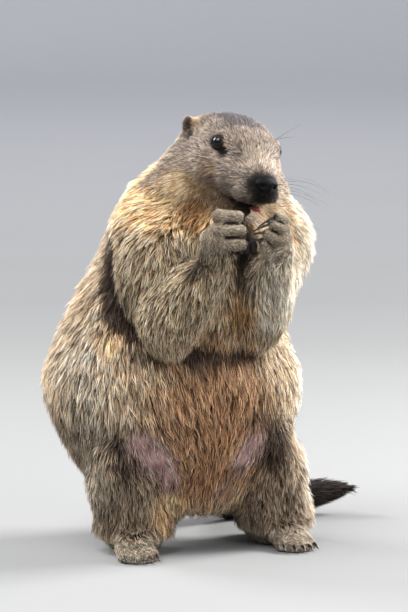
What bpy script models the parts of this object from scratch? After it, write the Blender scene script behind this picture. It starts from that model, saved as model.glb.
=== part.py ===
"""Alpine marmot, life size, standing upright on its hind feet with both forepaws held at its mouth.

Metres, +Z up. The animal faces -Y, its left side is +X and the floor is z = 0. Every flesh solid
reaches out to the tips of the coat. The whole body is modelled as one piece of clay from rounded
masses, smoothed, and then parted into its named members with thin cuts.
"""

import math

import bmesh
import bpy
import numpy as np
from mathutils import Euler, Matrix, Vector

MM = 0.001
GAP = 0.35 * MM  # clear space left between two solids that meet
CLAY_VOXEL = 2.0 * MM  # grain of the clay before it is thinned
SMOOTH_ROUNDS = 70  # rounds of smoothing that melt the body's masses together
CLAY_TRIANGLES = 3200  # what the whole clay is thinned to

# Attitude of the head and the chest against the hips, in degrees
HEAD_YAW, HEAD_PITCH, HEAD_ROLL = 5.0, 12.0, 12.0
HEAD_SIZE = 1.06
CHEST_YAW = 7.0

# Material, colour and roughness by the start of a node's name
COLOURS = {
    "eye": ("eye_glass", (0.012, 0.009, 0.008), 0.08),
    "nose": ("nose_leather", (0.03, 0.026, 0.026), 0.5),
    "claw": ("claw_horn", (0.03, 0.027, 0.026), 0.3),
    "head": ("coat_grizzled", (0.24, 0.19, 0.15), 0.9),
    "ear": ("coat_ear", (0.3, 0.2, 0.12), 0.9),
    "neck": ("coat_ochre", (0.42, 0.29, 0.16), 0.9),
    "trunk": ("coat_back", (0.4, 0.29, 0.18), 0.9),
    "upper_arm": ("coat_arm", (0.45, 0.34, 0.22), 0.9),
    "forearm": ("coat_forearm", (0.4, 0.32, 0.23), 0.9),
    "forepaw": ("coat_forepaw", (0.25, 0.22, 0.18), 0.9),
    "thigh": ("coat_thigh", (0.25, 0.18, 0.12), 0.9),
    "shank": ("coat_shank", (0.2, 0.16, 0.12), 0.9),
    "hind_foot": ("coat_hind_foot", (0.35, 0.31, 0.26), 0.9),
    "tail": ("coat_tail", (0.06, 0.045, 0.04), 0.9),
}

# Bare pieces on the head, in millimetres in the head's frame
EYE = (28.5, -17, 10)
EYE_RADII = (8, 8, 8)
EYE_LOOK = (0.78, -0.6, 0.12)
NOSE = (0, -72.5, -9)
EAR = (39, 31, 9)

# Claws
CLAW_SIDES = 5
CLAW_RINGS = 4
CLAW_CURL = 0.9  # how far a claw bends from root to point, in radians
CLAW_POINT = 0.45 * MM
FORE_CLAW = {"right": (11, 11, 11, 9), "left": (21, 19, 15, 12)}  # lengths, the topmost first


# ---------------------------------------------------------------- places

def mm(x, y, z):
    """A point or a size given in millimetres."""
    return Vector((x, y, z)) * MM


def place(origin, yaw=0.0, pitch=0.0, roll=0.0):
    """A member's own frame: X to its left, -Y forward, Z up. Yaw turns it to the animal's left,
    pitch lowers its front and roll lowers its left side."""
    turn = (
        Matrix.Rotation(math.radians(yaw), 4, "Z")
        @ Matrix.Rotation(math.radians(pitch), 4, "X")
        @ Matrix.Rotation(math.radians(roll), 4, "Y")
    )
    return Matrix.Translation(origin) @ turn


BODY = Matrix.Identity(4)
HEAD = place(mm(25, -87, 410), HEAD_YAW, HEAD_PITCH, HEAD_ROLL) @ Matrix.Scale(HEAD_SIZE, 4)
CHEST = place(mm(4, -40, 290), CHEST_YAW)
SIDES = {"right": -1, "left": 1}


# ---------------------------------------------------------------- clay

def ball_points(turns=14, rings=9):
    """Points spread over a ball of radius 1, ring by ring."""
    points = [Vector((0, 0, 1)), Vector((0, 0, -1))]
    for ring in range(1, rings):
        polar = math.pi * ring / rings
        for step in range(turns):
            angle = math.tau * (step + 0.5 * (ring % 2)) / turns
            flat = math.sin(polar)
            points.append(Vector((flat * math.cos(angle), flat * math.sin(angle), math.cos(polar))))
    return points


class Clay:
    """Closed rounded masses that overlap, ready to be melted into one."""

    def __init__(self):
        self.bm = bmesh.new()

    def egg(self, frame, centre, radii, turn=(0, 0, 0)):
        """An ellipsoid, in millimetres, tilted by turn degrees about its own axes."""
        tilt = Euler([math.radians(a) for a in turn]).to_matrix().to_4x4()
        size = Matrix.Diagonal((*mm(*radii), 1))
        matrix = frame @ Matrix.Translation(mm(*centre)) @ tilt @ size
        bmesh.ops.create_icosphere(self.bm, subdivisions=4, radius=1, matrix=matrix)

    def limb(self, frame, *stations):
        """Tapered capsules through stations of (x, y, z, radius) in millimetres."""
        for start, end in zip(stations, stations[1:]):
            points = []
            for x, y, z, radius in (start, end):
                middle = frame @ mm(x, y, z)
                points += [self.bm.verts.new(middle + p * radius * MM) for p in ball_points()]
            hull = bmesh.ops.convex_hull(self.bm, input=points)
            inner = [v for v in hull["geom_interior"] if isinstance(v, bmesh.types.BMVert)]
            bmesh.ops.delete(self.bm, geom=inner, context="VERTS")


    def slices(self, rows, steps=6, points=40):
        """A smooth trunk through level oval slices, in millimetres."""
        rows = np.array(rows, dtype=float)
        spans = []
        for i in range(len(rows) - 1):
            before, near, far, after = (rows[max(0, min(len(rows) - 1, i + k))] for k in (-1, 0, 1, 2))
            for t in np.arange(steps) / steps:
                bend = (2 * before - 5 * near + 4 * far - after) * t + (far - before)
                spans.append(near + 0.5 * t * (bend + (3 * near - before - 3 * far + after) * t * t))
        spans.append(rows[-1])
        rings = []
        for height, middle, half_width, front, back in spans:
            ring = []
            for step in range(points):
                angle = math.tau * step / points
                y = (front + back) / 2 + (back - front) / 2 * math.sin(angle)
                ring.append(mm(middle + half_width * math.cos(angle), y, height))
            rings.append(ring)
        mesh = bpy.data.meshes.new("slices")
        piece = tube(rings)
        piece.to_mesh(mesh)
        piece.free()
        self.bm.from_mesh(mesh)
        bpy.data.meshes.remove(mesh)


def add_head(clay):
    clay.egg(HEAD, (0, 8, 3), (41, 46, 31))  # cranium
    clay.egg(HEAD, (0, -16, 8), (33, 32, 22))  # forehead
    clay.egg(HEAD, (0, -42, -13), (26, 31, 23), (10, 0, 0))  # muzzle
    clay.egg(HEAD, (0, -36, 1), (20, 36, 15), (20, 0, 0))  # bridge of the nose
    clay.egg(HEAD, (0, 2, -22), (36, 40, 24))  # throat
    clay.egg(HEAD, (0, 36, -12), (42, 34, 38))  # nape
    for side in SIDES.values():
        clay.egg(HEAD, (side * 29, 4, -14), (20, 34, 25))  # cheek
        clay.egg(HEAD, (side * 16, -30, -14), (17, 26, 19))  # side of the muzzle
        clay.egg(HEAD, (side * 26, -15, 14), (12, 17, 9), (0, side * 25, 0))  # brow
        clay.egg(HEAD, (side * 11, -58, -22), (13, 15, 13))  # whisker pad
        clay.egg(HEAD, (side * 33, 33, 6), (10, 12, 12))  # root of the ear
        clay.egg(HEAD, (side * 24, 19, 16.5), (14, 18, 12))  # corner of the crown
    clay.limb(HEAD, (0, -10, -36, 19), (0, -44, -43, 9.5))  # lower jaw


# Level slices of the trunk and the neck: height, middle, half width, front and back
SLICES = (
    (34, 4, 40, -34, 40),
    (46, 3, 66, -56, 70),
    (68, 0, 90, -76, 94),
    (100, -3, 114, -92, 108),
    (140, -8, 130, -101, 114),
    (176, -10, 135, -102, 113),
    (215, -11, 120, -94, 106),
    (256, -6, 106, -84, 94),
    (298, 3, 93, -80, 76),
    (330, 13, 95, -84, 56),
    (352, 17, 93, -88, 40),
    (371, 14, 84, -92, 24),
    (392, 18, 66, -96, 6),
    (413, 22, 53, -98, -7),
    (430, 24, 40, -90, -22),
)


def add_trunk(clay):
    clay.slices(SLICES)
    clay.egg(CHEST, (4, -22, -14), (64, 54, 76))  # breast
    clay.egg(CHEST, (8, -34, 26), (58, 40, 44))  # ruff of the throat


def add_tail(clay):
    clay.limb(
        BODY,
        (24, 78, 52, 24), (60, 104, 30, 21), (106, 118, 18.5, 20.5),
        (150, 118, 18.5, 19.5), (192, 108, 23, 16), (224, 98, 29, 8),
    )


HIP = {"right": (-66, 16, 122), "left": (62, 14, 122)}
KNEE = {"right": (-78, -46, 104), "left": (68, -48, 108)}
CALF = {"right": (-66, -20, 74), "left": (82, -20, 74)}
HOCK = {"right": (-58, -16, 34), "left": (93, -16, 34)}
FOOT = {"right": (-66, -8), "left": (96, -6)}
FOOT_YAW = {"right": -6, "left": 1}


def add_legs(clay):
    for name in SIDES:
        clay.egg(BODY, HIP[name], (54, 66, 58))  # thigh
        clay.limb(BODY, (*HIP[name], 50), (*KNEE[name], 35))  # knee
        clay.limb(BODY, (*KNEE[name], 35), (*HOCK[name], 40))  # shin
        clay.egg(BODY, CALF[name], (45, 46, 50))  # calf
        clay.egg(BODY, HOCK[name], (44, 42, 30))  # trousers over the heel
        foot = foot_frame(name)
        clay.limb(foot, (0, 24, 14, 15), (0, -40, 14, 17))  # sole
        for toe in range(5):
            clay.limb(foot, *toe_stations(toe))


def foot_frame(name):
    return place(mm(*FOOT[name], 0), yaw=FOOT_YAW[name])


def toe_stations(toe):
    """Root and tip of a hind toe, the innermost of the right foot being 0."""
    side = toe - 2
    return (side * 6.4, -44, 10.5, 8.5), (side * 8, -74 + 2.4 * side * side, 6, 6.6)


SHOULDER = {"right": (-46, -38, 318), "left": (76, -40, 312)}
ELBOW = {"right": (-50, -101, 248), "left": (47, -91, 250)}
UPPER_ARM_OUT = {"right": 5, "left": -1}
WRIST = {"right": (-14, -140, 306), "left": (50, -136, 304)}
DIGITS = {
    # root and tip of each digit of the forepaws, the topmost first
    "right": (
        ((-19, -155, 355.5), (1, -158.5, 354.5)),
        ((-21, -155.5, 342), (3.2, -160, 341)),
        ((-19, -154, 328.5), (5.5, -158.5, 327.5)),
        ((-14, -147, 317), (3.5, -150, 316.5)),
    ),
    "left": (
        ((50, -149, 347.5), (40.5, -160, 353.5)),
        ((51, -151, 338), (34.5, -162, 346.5)),
        ((45, -152, 327.5), (29, -161, 337.5)),
        ((38, -148, 318.5), (26, -157, 328.5)),
    ),
}
KNUCKLE_RADIUS = 7.2
DIGIT_TIP_RADIUS = {"right": 5.6, "left": 4.8}
CLAW_AIM = {"right": (60, -138, 335), "left": (0, -171, 342)}  # where the foreclaws point to
PAW_TOP = {"right": 367.5, "left": 364}
PAW_PARTING = 17.5  # where the plane between the two forepaws crosses X


def add_arms(clay):
    for name, side in SIDES.items():
        shoulder, elbow, wrist = (Vector(spot[name]) for spot in (SHOULDER, ELBOW, WRIST))
        clay.egg(BODY, shoulder, (48, 52, 56))  # shoulder
        middle = (shoulder + elbow) / 2 + Vector((side * UPPER_ARM_OUT[name], 4, 4))
        clay.egg(BODY, middle, (42, 44, 60), (14, 0, 0))  # upper arm
        clay.limb(BODY, (*elbow, 36), (*wrist, 20))  # forearm
        knuckles = sum((Vector(root) for root, _ in DIGITS[name]), Vector()) / 4
        clay.limb(BODY, (*wrist, 18), (*(knuckles + Vector((side * -3, 5, -4))), 14))  # palm
        for root, tip in DIGITS[name]:
            clay.limb(BODY, (*root, KNUCKLE_RADIUS), (*tip, DIGIT_TIP_RADIUS[name]))


def melted(clay):
    """The clay as one closed skin, smoothed least on the face and the paws, and thinned."""
    rough = bpy.data.meshes.new("rough_clay")
    clay.bm.to_mesh(rough)
    clay.bm.free()
    body = bpy.data.objects.new("clay", rough)
    bpy.context.scene.collection.objects.link(body)
    remesh = body.modifiers.new("melt", "REMESH")
    remesh.mode = "VOXEL"
    remesh.voxel_size = CLAY_VOXEL
    apply_modifiers(body)

    points = np.array([v.co for v in body.data.vertices])
    soft = np.clip(softness(points), 0, 1)
    group = body.vertex_groups.new(name="soft")
    for index, weight in enumerate(soft):
        group.add([index], float(weight), "REPLACE")
    smooth = body.modifiers.new("smooth", "SMOOTH")
    smooth.factor = 0.5
    smooth.iterations = SMOOTH_ROUNDS
    smooth.vertex_group = "soft"
    thin = body.modifiers.new("thin", "DECIMATE")
    thin.ratio = CLAY_TRIANGLES / sum(len(p.vertices) - 2 for p in body.data.polygons)
    apply_modifiers(body)
    return body


def softness(points):
    """How far each point of the clay may melt: 1 on the trunk, little on the face and the paws."""
    fine_spots = [(HEAD @ mm(0, -34, -4), 74 * MM, 0.09)]
    for name, side in SIDES.items():
        fine_spots.append((Vector(DIGITS[name][0][0]) * MM + mm(-side * 8, 0, -14), 36 * MM, 0.05))
        fine_spots.append((mm(8 + side * 82, -72, 8), 36 * MM, 0.06))
    soft = np.ones(len(points))
    for centre, reach, least in fine_spots:
        away = np.linalg.norm(points - np.array(centre), axis=1) / reach
        blend = np.clip((away - 0.8) / 0.5, 0, 1)
        soft = np.minimum(soft, least + (1 - least) * blend * blend * (3 - 2 * blend))
    return soft


# ---------------------------------------------------------------- hard and bare pieces

def tube(rings):
    """A closed tube through rings of points, its ends capped."""
    bm = bmesh.new()
    loops = [[bm.verts.new(p) for p in ring] for ring in rings]
    for near, far in zip(loops, loops[1:]):
        for i, vert in enumerate(near):
            j = (i + 1) % len(near)
            bm.faces.new((vert, near[j], far[j], far[i]))
    bm.faces.new(reversed(loops[0]))
    bm.faces.new(loops[-1])
    bmesh.ops.recalc_face_normals(bm, faces=bm.faces)
    return bm


def claw(root, along, over, length, radius, swell=0.0):
    """A claw that leaves root along its digit and curves away from over, its upper side."""
    along, over = along.normalized(), over.normalized()
    across = along.cross(over)
    rings = []
    for step in range(CLAW_RINGS):
        t = step / (CLAW_RINGS - 1)
        bend = CLAW_CURL * t
        spine = along * math.sin(bend) - over * (1 - math.cos(bend))
        middle = root + spine * length / CLAW_CURL + along * swell * (2 * t - 1)
        normal = over * math.cos(bend) + along * math.sin(bend)
        thick = max(radius * (1 - t ** 1.6), CLAW_POINT) + swell
        ring = []
        for side in range(CLAW_SIDES):
            angle = math.tau * side / CLAW_SIDES
            ring.append(middle + (across * 0.72 * math.cos(angle) + normal * math.sin(angle)) * thick)
        rings.append(ring)
    return tube(rings)


def egg(frame, centre, radii, turn=(0, 0, 0), swell=0.0, rings=6):
    """An ellipsoid, radii in millimetres, tilted by turn degrees."""
    bm = bmesh.new()
    tilt = Euler([math.radians(a) for a in turn]).to_matrix().to_4x4()
    size = Matrix.Diagonal((*(mm(*radii) + Vector((swell, swell, swell))), 1))
    matrix = frame @ Matrix.Translation(mm(*centre)) @ tilt @ size
    bmesh.ops.create_uvsphere(bm, u_segments=2 * rings, v_segments=rings, radius=1, matrix=matrix)
    return bm


def details(swell=0.0):
    """Every hard or bare piece by name, each grown by swell on every side."""
    made = {"nose": egg(HEAD, NOSE, (10.5, 6.5, 7.6), (-16, 0, 0), swell)}
    for name, side in SIDES.items():
        made[f"eye_{name}"] = egg(HEAD, (side * EYE[0], *EYE[1:]), EYE_RADII, swell=swell, rings=8)
        made[f"ear_{name}"] = egg(
            HEAD, (side * EAR[0], *EAR[1:]), (4.5, 9.5, 11), (-20, side * 10, side * -16), swell
        )
        for digit, (_, tip) in enumerate(DIGITS[name]):
            along = (Vector(CLAW_AIM[name]) - Vector(tip)).normalized()
            over = Vector((0, -0.8, 0.6))
            over -= over.dot(along) * along
            made[f"claw_fore_{name}_{digit + 1}"] = claw(
                mm(*tip) + along * 3 * MM, along, over, FORE_CLAW[name][digit] * MM, 2.2 * MM, swell
            )
        foot = foot_frame(name)
        for toe in range(5):
            near, far = (foot @ mm(*station[:3]) for station in toe_stations(toe))
            along = far - near
            along.z = 0
            made[f"claw_hind_{name}_{toe + 1}"] = claw(
                far + along.normalized() * 4 * MM + mm(0, 0, 1.5), along, Vector((0, 0, 1)),
                11 * MM, 2.2 * MM, swell,
            )
    return made


# ---------------------------------------------------------------- parting

def box(frame, low, high, swell=0.0):
    """A box between two corners given in millimetres in its own frame."""
    bm = bmesh.new()
    middle = (mm(*low) + mm(*high)) / 2
    size = mm(*high) - mm(*low) + 2 * Vector((swell, swell, swell))
    matrix = frame @ Matrix.Translation(middle) @ Matrix.Diagonal((*size, 1))
    bmesh.ops.create_cube(bm, size=1, matrix=matrix)
    return bm


def along_limb(start, end):
    """A frame at start, in millimetres, whose Z runs to end and whose Y points backward."""
    up = (Vector(end) - Vector(start)).normalized()
    left = Vector((0, 1, 0)).cross(up).normalized()
    turn = Matrix((left, up.cross(left), up)).transposed().to_4x4()
    return Matrix.Translation(Vector(start) * MM) @ turn


def members():
    """The members in the order they are parted off, each with a frame and two corners."""
    cuts = [
        ("tail_tip", [(place(mm(150, 118, 20), -13), (0, -50, -40), (120, 50, 40))]),
        ("tail_base", [(place(mm(64, 105, 30), 17), (0, -44, -50), (120, 50, 44))]),
        ("hind_foot_right", [(BODY, (-170, -160, -10), (8, 64, 23))]),
        ("hind_foot_left", [(BODY, (9, -160, -10), (190, 64, 23))]),
        ("shank_right", [(BODY, (-170, -140, 20), (-20, 36, 90))]),
        ("shank_left", [(BODY, (48, -140, 20), (190, 36, 90))]),
        ("thigh_right", [(BODY, (-170, -140, 89), (-36, 22, 146))]),
        ("thigh_left", [(BODY, (44, -140, 89), (190, 22, 146))]),
    ]
    for name, side in SIDES.items():
        inner, outer = sorted((PAW_PARTING, side * 90))
        fingers = (BODY, (inner, -190, 344), (outer, -137, PAW_TOP[name]))
        palm = (BODY, (inner, -190, 300), (outer, -119, 345))
        cuts.append((f"forepaw_{name}", [fingers, palm]))
        fore = along_limb(ELBOW[name], WRIST[name])
        inner, outer = sorted((side * -31, side * 50))
        cuts.append((f"forearm_{name}", [(fore, (inner, -60, 4), (outer, 20, 90))]))
    for name, side in SIDES.items():
        upper = along_limb(ELBOW[name], SHOULDER[name])
        reach = (Vector(SHOULDER[name]) - Vector(ELBOW[name])).length
        inner, outer = sorted((side * -36, side * 70))
        cuts.append((f"upper_arm_{name}", [(upper, (inner, -90, -60), (outer, 34, reach * 0.86))]))
    cuts.append(("head", [(HEAD, (-80, -130, -56), (80, 46, 70))]))
    neck = place(mm(16, -40, 356), 0, 18)
    cuts.append(("neck", [(neck, (-120, -120, 0), (120, 120, 120))]))
    return cuts


# ---------------------------------------------------------------- tools

def apply_modifiers(obj):
    graph = bpy.context.evaluated_depsgraph_get()
    mesh = bpy.data.meshes.new_from_object(obj.evaluated_get(graph))
    obj.modifiers.clear()
    old, obj.data = obj.data, mesh
    bpy.data.meshes.remove(old)


def colour(obj, colours):
    """Give an object the coat, leather, horn or glass its name calls for."""
    kind = next(k for k in colours if obj.name.startswith(k))
    name, rgb, roughness = colours[kind]
    material = bpy.data.materials.get(name) or bpy.data.materials.new(name)
    material.use_nodes = True
    shader = material.node_tree.nodes["Principled BSDF"]
    shader.inputs["Base Color"].default_value = (*rgb, 1)
    shader.inputs["Roughness"].default_value = roughness
    obj.data.materials.clear()
    obj.data.materials.append(material)


def new_object(name, bm):
    mesh = bpy.data.meshes.new(name)
    bm.to_mesh(mesh)
    bm.free()
    obj = bpy.data.objects.new(name, mesh)
    bpy.context.scene.collection.objects.link(obj)
    return obj


def stand_over_origin(objects):
    """Bring the middle of the whole model's bounding box over the origin, the floor staying put."""
    points = np.array([v.co for obj in objects for v in obj.data.vertices])
    middle = (points.min(axis=0) + points.max(axis=0)) / 2
    shift = Matrix.Translation((-middle[0], -middle[1], 0))
    for obj in objects:
        obj.data.transform(shift)


def joined(pieces):
    """One mesh that holds several separate ones."""
    whole = bmesh.new()
    for piece in pieces:
        mesh = bpy.data.meshes.new("piece")
        piece.to_mesh(mesh)
        piece.free()
        whole.from_mesh(mesh)
        bpy.data.meshes.remove(mesh)
    return whole


def cut(obj, operation, tool_bm, overlapping=False):
    """Cut obj with a closed tool, then tidy the cut faces."""
    tool = new_object("tool", tool_bm)
    tool.hide_render = True
    tool.display_type = "WIRE"
    modifier = obj.modifiers.new("cut", "BOOLEAN")
    modifier.operation = operation
    modifier.solver = "EXACT"
    modifier.use_self = overlapping
    modifier.object = tool
    apply_modifiers(obj)
    bpy.data.objects.remove(tool)


def tidy(obj):
    """Merge points that coincide, split to triangles and keep the largest closed shell."""
    bm = bmesh.new()
    bm.from_mesh(obj.data)
    bmesh.ops.triangulate(bm, faces=bm.faces)
    bmesh.ops.remove_doubles(bm, verts=bm.verts, dist=0.02 * MM)
    bmesh.ops.dissolve_degenerate(bm, edges=bm.edges, dist=0.01 * MM)
    bmesh.ops.triangulate(bm, faces=bm.faces)
    for scrap in shells_of(bm)[1:]:
        bmesh.ops.delete(bm, geom=scrap, context="VERTS")
    bmesh.ops.recalc_face_normals(bm, faces=bm.faces)
    bm.to_mesh(obj.data)
    bm.free()


def shells_of(bm):
    """Lists of connected points, the longest first."""
    unseen = set(bm.verts)
    shells = []
    while unseen:
        front = [unseen.pop()]
        shell = []
        while front:
            vert = front.pop()
            shell.append(vert)
            for edge in vert.link_edges:
                other = edge.other_vert(vert)
                if other in unseen:
                    unseen.remove(other)
                    front.append(other)
        shells.append(shell)
    return sorted(shells, key=len, reverse=True)


def main():
    for obj in list(bpy.data.objects):
        bpy.data.objects.remove(obj)
    clay = Clay()
    add_head(clay)
    add_trunk(clay)
    add_tail(clay)
    add_legs(clay)
    add_arms(clay)
    body = melted(clay)

    hollows = list(details(GAP).values())
    for side in SIDES.values():
        look = Vector((side * EYE_LOOK[0], *EYE_LOOK[1:])) * 7.5
        socket = look + Vector((side * EYE[0], *EYE[1:]))
        hollows.append(egg(HEAD, socket, (6.6, 7.4, 6.2)))
    hollows.append(egg(HEAD, (0, -54, -37), (22, 21, 2.3), (4, 0, 0)))  # mouth
    cut(body, "DIFFERENCE", joined(hollows), overlapping=True)
    cut(body, "DIFFERENCE", box(BODY, (-300, -300, -60), (300, 300, 0)))
    tidy(body)

    for name, regions in members():
        member = bpy.data.objects.new(name, body.data.copy())
        bpy.context.scene.collection.objects.link(member)
        cut(member, "INTERSECT", joined(box(*r) for r in regions), len(regions) > 1)
        cut(body, "DIFFERENCE", joined(box(*r, GAP) for r in regions), len(regions) > 1)
        tidy(member)
    body.name = "trunk"
    tidy(body)

    for name, piece in details().items():
        obj = new_object(name, piece)
        tidy(obj)
    for obj in bpy.data.objects:
        colour(obj, COLOURS)
    stand_over_origin(bpy.data.objects)


main()
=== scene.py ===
"""Still model of an alpine marmot, life size, standing upright to eat.

Metres, +Z up. The animal faces -Y and its left side is +X. One skin with its coat, the eyes and
their lids, the nose, the mouth, the claws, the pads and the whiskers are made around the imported
solids. A pale stage shows them.
"""

import math

import bmesh
import bpy
import numpy as np
from bpy.props import FloatProperty, FloatVectorProperty, IntProperty, PointerProperty
from mathutils import Matrix, Vector, noise
from mathutils.bvhtree import BVHTree
from mathutils.kdtree import KDTree


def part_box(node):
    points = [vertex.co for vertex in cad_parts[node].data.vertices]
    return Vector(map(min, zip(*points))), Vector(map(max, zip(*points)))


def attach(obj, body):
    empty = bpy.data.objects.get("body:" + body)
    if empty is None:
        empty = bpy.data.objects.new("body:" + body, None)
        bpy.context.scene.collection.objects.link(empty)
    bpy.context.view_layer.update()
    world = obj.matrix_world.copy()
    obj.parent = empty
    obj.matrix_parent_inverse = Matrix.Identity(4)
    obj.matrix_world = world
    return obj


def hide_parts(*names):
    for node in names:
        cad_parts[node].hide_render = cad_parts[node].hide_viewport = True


bl_info = {
    "name": "Alpine Marmot Model",
    "version": (1, 0, 0),
    "blender": (4, 5, 0),
    "location": "3D View > Sidebar > Marmot",
    "description": "Skin, coat and fittings of a life-size standing marmot",
    "category": "Object",
}

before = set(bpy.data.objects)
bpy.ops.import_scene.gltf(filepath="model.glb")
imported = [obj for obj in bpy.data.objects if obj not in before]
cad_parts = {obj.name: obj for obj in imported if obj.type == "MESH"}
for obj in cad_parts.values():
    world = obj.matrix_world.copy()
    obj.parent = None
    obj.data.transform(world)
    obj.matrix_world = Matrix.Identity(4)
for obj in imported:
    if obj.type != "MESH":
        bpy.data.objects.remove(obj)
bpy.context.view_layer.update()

MM = 0.001
SIDES = {"right": -1, "left": 1}

# Where the left eye, the nose and the mouth sit in the head's own frame, in head millimetres
EYE = np.array((28.5, -17.0, 10.0))
EYE_LOOK = Vector((0.78, -0.6, 0.12)).normalized()
EYE_RADIUS = 8.0
EYE_RING = 7.0, 8.6  # how far aside of the eye its dark ring ends
NOSE = np.array((0.0, -72.5, -9.0))
NOSE_RADII = np.array((11.2, 6.8, 8.2))
MOUTH = (0, -42, -38)  # middle of the gap between the lips
CHIN = (0, -44, -43)
MIDLINE = -42  # x of the body's middle plane, in millimetres


# ---------------------------------------------------------------- places

def middle(node):
    """The middle of a solid's box."""
    low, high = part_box(node)
    return (low + high) / 2


def head_place():
    """The head's own frame, as a matrix from head millimetres to the model: X to the head's left,
    -Y forward, Z up. The two eyes and the nose say where it is."""
    left, right, nose = middle("eye_left"), middle("eye_right"), middle("nose")
    across = (left - right).normalized()
    size = (left - right).length / float(2 * EYE[0])
    between = (left + right) / 2
    forward = (nose - between).normalized()
    dip = math.atan2(EYE[2] - NOSE[2], EYE[1] - NOSE[1])
    over = across.cross(forward)
    back = math.sin(dip) * over - math.cos(dip) * forward
    up = -math.sin(dip) * forward - math.cos(dip) * over
    origin = between - size * (float(EYE[1]) * back + float(EYE[2]) * up)
    turn = Matrix((across, back, up)).transposed().to_4x4()
    return Matrix.Translation(origin) @ turn @ Matrix.Scale(size, 4)


HEAD = head_place()
HEAD_TURN = HEAD.to_3x3().normalized()
HEAD_ABOVE_FEET = Vector((25, -87, 410)) * MM
BODY = Matrix.Scale(MM, 4)  # millimetres of the whole model
CLAY = Matrix.Translation(HEAD.to_translation() - HEAD_ABOVE_FEET) @ BODY  # from between the feet


def moved(points, matrix):
    """An array of points taken through a matrix."""
    matrix = np.array(matrix)
    return np.asarray(points, float) @ matrix[:3, :3].T + matrix[:3, 3]


def in_head(points, fold=False):
    """Points in head millimetres, with fold those of the right half laid over the left."""
    local = moved(points, HEAD.inverted())
    if fold:
        local[:, 0] = np.abs(local[:, 0])
    return local


def unit(vectors):
    """Vectors brought to length 1."""
    return vectors / np.maximum(np.linalg.norm(vectors, axis=-1, keepdims=True), 1e-9)


def ramp(values, start, end):
    """0 before start, 1 after end, and smooth between them."""
    t = np.clip((values - start) / (end - start), 0, 1)
    return t * t * (3 - 2 * t)


def bump_at(points, centre, radii):
    """1 at centre, fading to 0 over radii."""
    away = (points - np.array(centre)) / np.array(radii, float)
    return np.exp(-(away * away).sum(axis=-1))


# ---------------------------------------------------------------- what a user would change

# Root, middle and tip of a tuft in each of the coat's colours
PALETTES = {
    "grizzled": ((0.012, 0.010, 0.008), (0.110, 0.080, 0.060), (0.52, 0.42, 0.34)),
    "slate": ((0.009, 0.008, 0.009), (0.044, 0.039, 0.041), (0.185, 0.170, 0.180)),
    "cream": ((0.070, 0.048, 0.031), (0.330, 0.250, 0.178), (0.66, 0.57, 0.47)),
    "black": ((0.003, 0.0025, 0.002), (0.005, 0.004, 0.0035), (0.014, 0.011, 0.009)),
    "warm": ((0.032, 0.015, 0.006), (0.240, 0.108, 0.038), (0.74, 0.46, 0.22)),
    "ochre": ((0.100, 0.042, 0.014), (0.980, 0.510, 0.210), (1.0, 0.88, 0.62)),
    "back": ((0.050, 0.028, 0.016), (0.380, 0.245, 0.138), (0.97, 0.78, 0.56)),
    "pale": ((0.085, 0.058, 0.037), (0.600, 0.480, 0.330), (1.0, 0.94, 0.81)),
    "belly": ((0.020, 0.011, 0.007), (0.250, 0.118, 0.056), (0.82, 0.48, 0.27)),
    "arm": ((0.018, 0.011, 0.007), (0.190, 0.118, 0.062), (0.98, 0.80, 0.54)),
    # dark is laid mostly as painted shade, in folds and hollows, under the arms' hem, on the forearm and
    # chest and at the knees
    "dark": ((0.006, 0.004, 0.003), (0.024, 0.016, 0.012), (0.120, 0.080, 0.058)),
    "leg": ((0.014, 0.010, 0.007), (0.132, 0.088, 0.058), (0.84, 0.64, 0.45)),
    "paw": ((0.030, 0.023, 0.016), (0.230, 0.175, 0.118), (0.86, 0.73, 0.56)),
    "tail": ((0.004, 0.003, 0.003), (0.014, 0.010, 0.009), (0.050, 0.036, 0.030)),
    "bare": ((0.270, 0.162, 0.152), (0.330, 0.208, 0.190), (0.70, 0.55, 0.47)),
}
PALETTE_NAMES = list(PALETTES)
LEAD = 1.6  # how far the colour that a place has most of leads the others
BANDS = ("root", "middle", "tip")


def colour_property(name, value, description):
    return FloatVectorProperty(
        name=name, description=description, default=value, subtype="COLOR", size=3, min=0, max=1
    )


def palette_properties():
    """A colour property for each band of each of the coat's colours."""
    made = {}
    for name, colours in PALETTES.items():
        for band, colour in zip(BANDS, colours):
            about = f"Colour of the {band} of a {name} tuft"
            made[f"{name}_{band}"] = colour_property(f"{name} {band}".capitalize(), colour, about)
    return made


class MarmotColours(bpy.types.PropertyGroup):
    """Colours of the coat and of the bare parts"""

    __annotations__ = {
        **palette_properties(),
        "iris": colour_property("Iris", (0.014, 0.007, 0.004), "Colour round the pupil"),
        "lid": colour_property("Lid", (0.004, 0.0035, 0.003), "Colour of the eyelids' rims"),
        "nose": colour_property("Nose", (0.005, 0.0045, 0.0045), "Colour of the nose leather"),
        "horn": colour_property("Horn", (0.012, 0.010, 0.010), "Colour of the claws"),
        "pad": colour_property("Pad", (0.014, 0.011, 0.010), "Colour of the paws' pads"),
        # the mouth's lining is near black, as painted shade of the open mouth
        "mouth_lining": colour_property("Mouth", (0.003, 0.002, 0.002), "Colour inside the mouth"),
        "tongue": colour_property("Tongue", (0.20, 0.045, 0.042), "Colour of the tongue"),
        "whisker": colour_property("Whisker", (0.02, 0.017, 0.015), "Colour of the whiskers"),
        "floor": colour_property("Floor", (0.20, 0.20, 0.198), "Colour of the floor"),
        "backdrop": colour_property("Backdrop", (0.80, 0.80, 0.81), "Colour of the floor far off"),
    }


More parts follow.
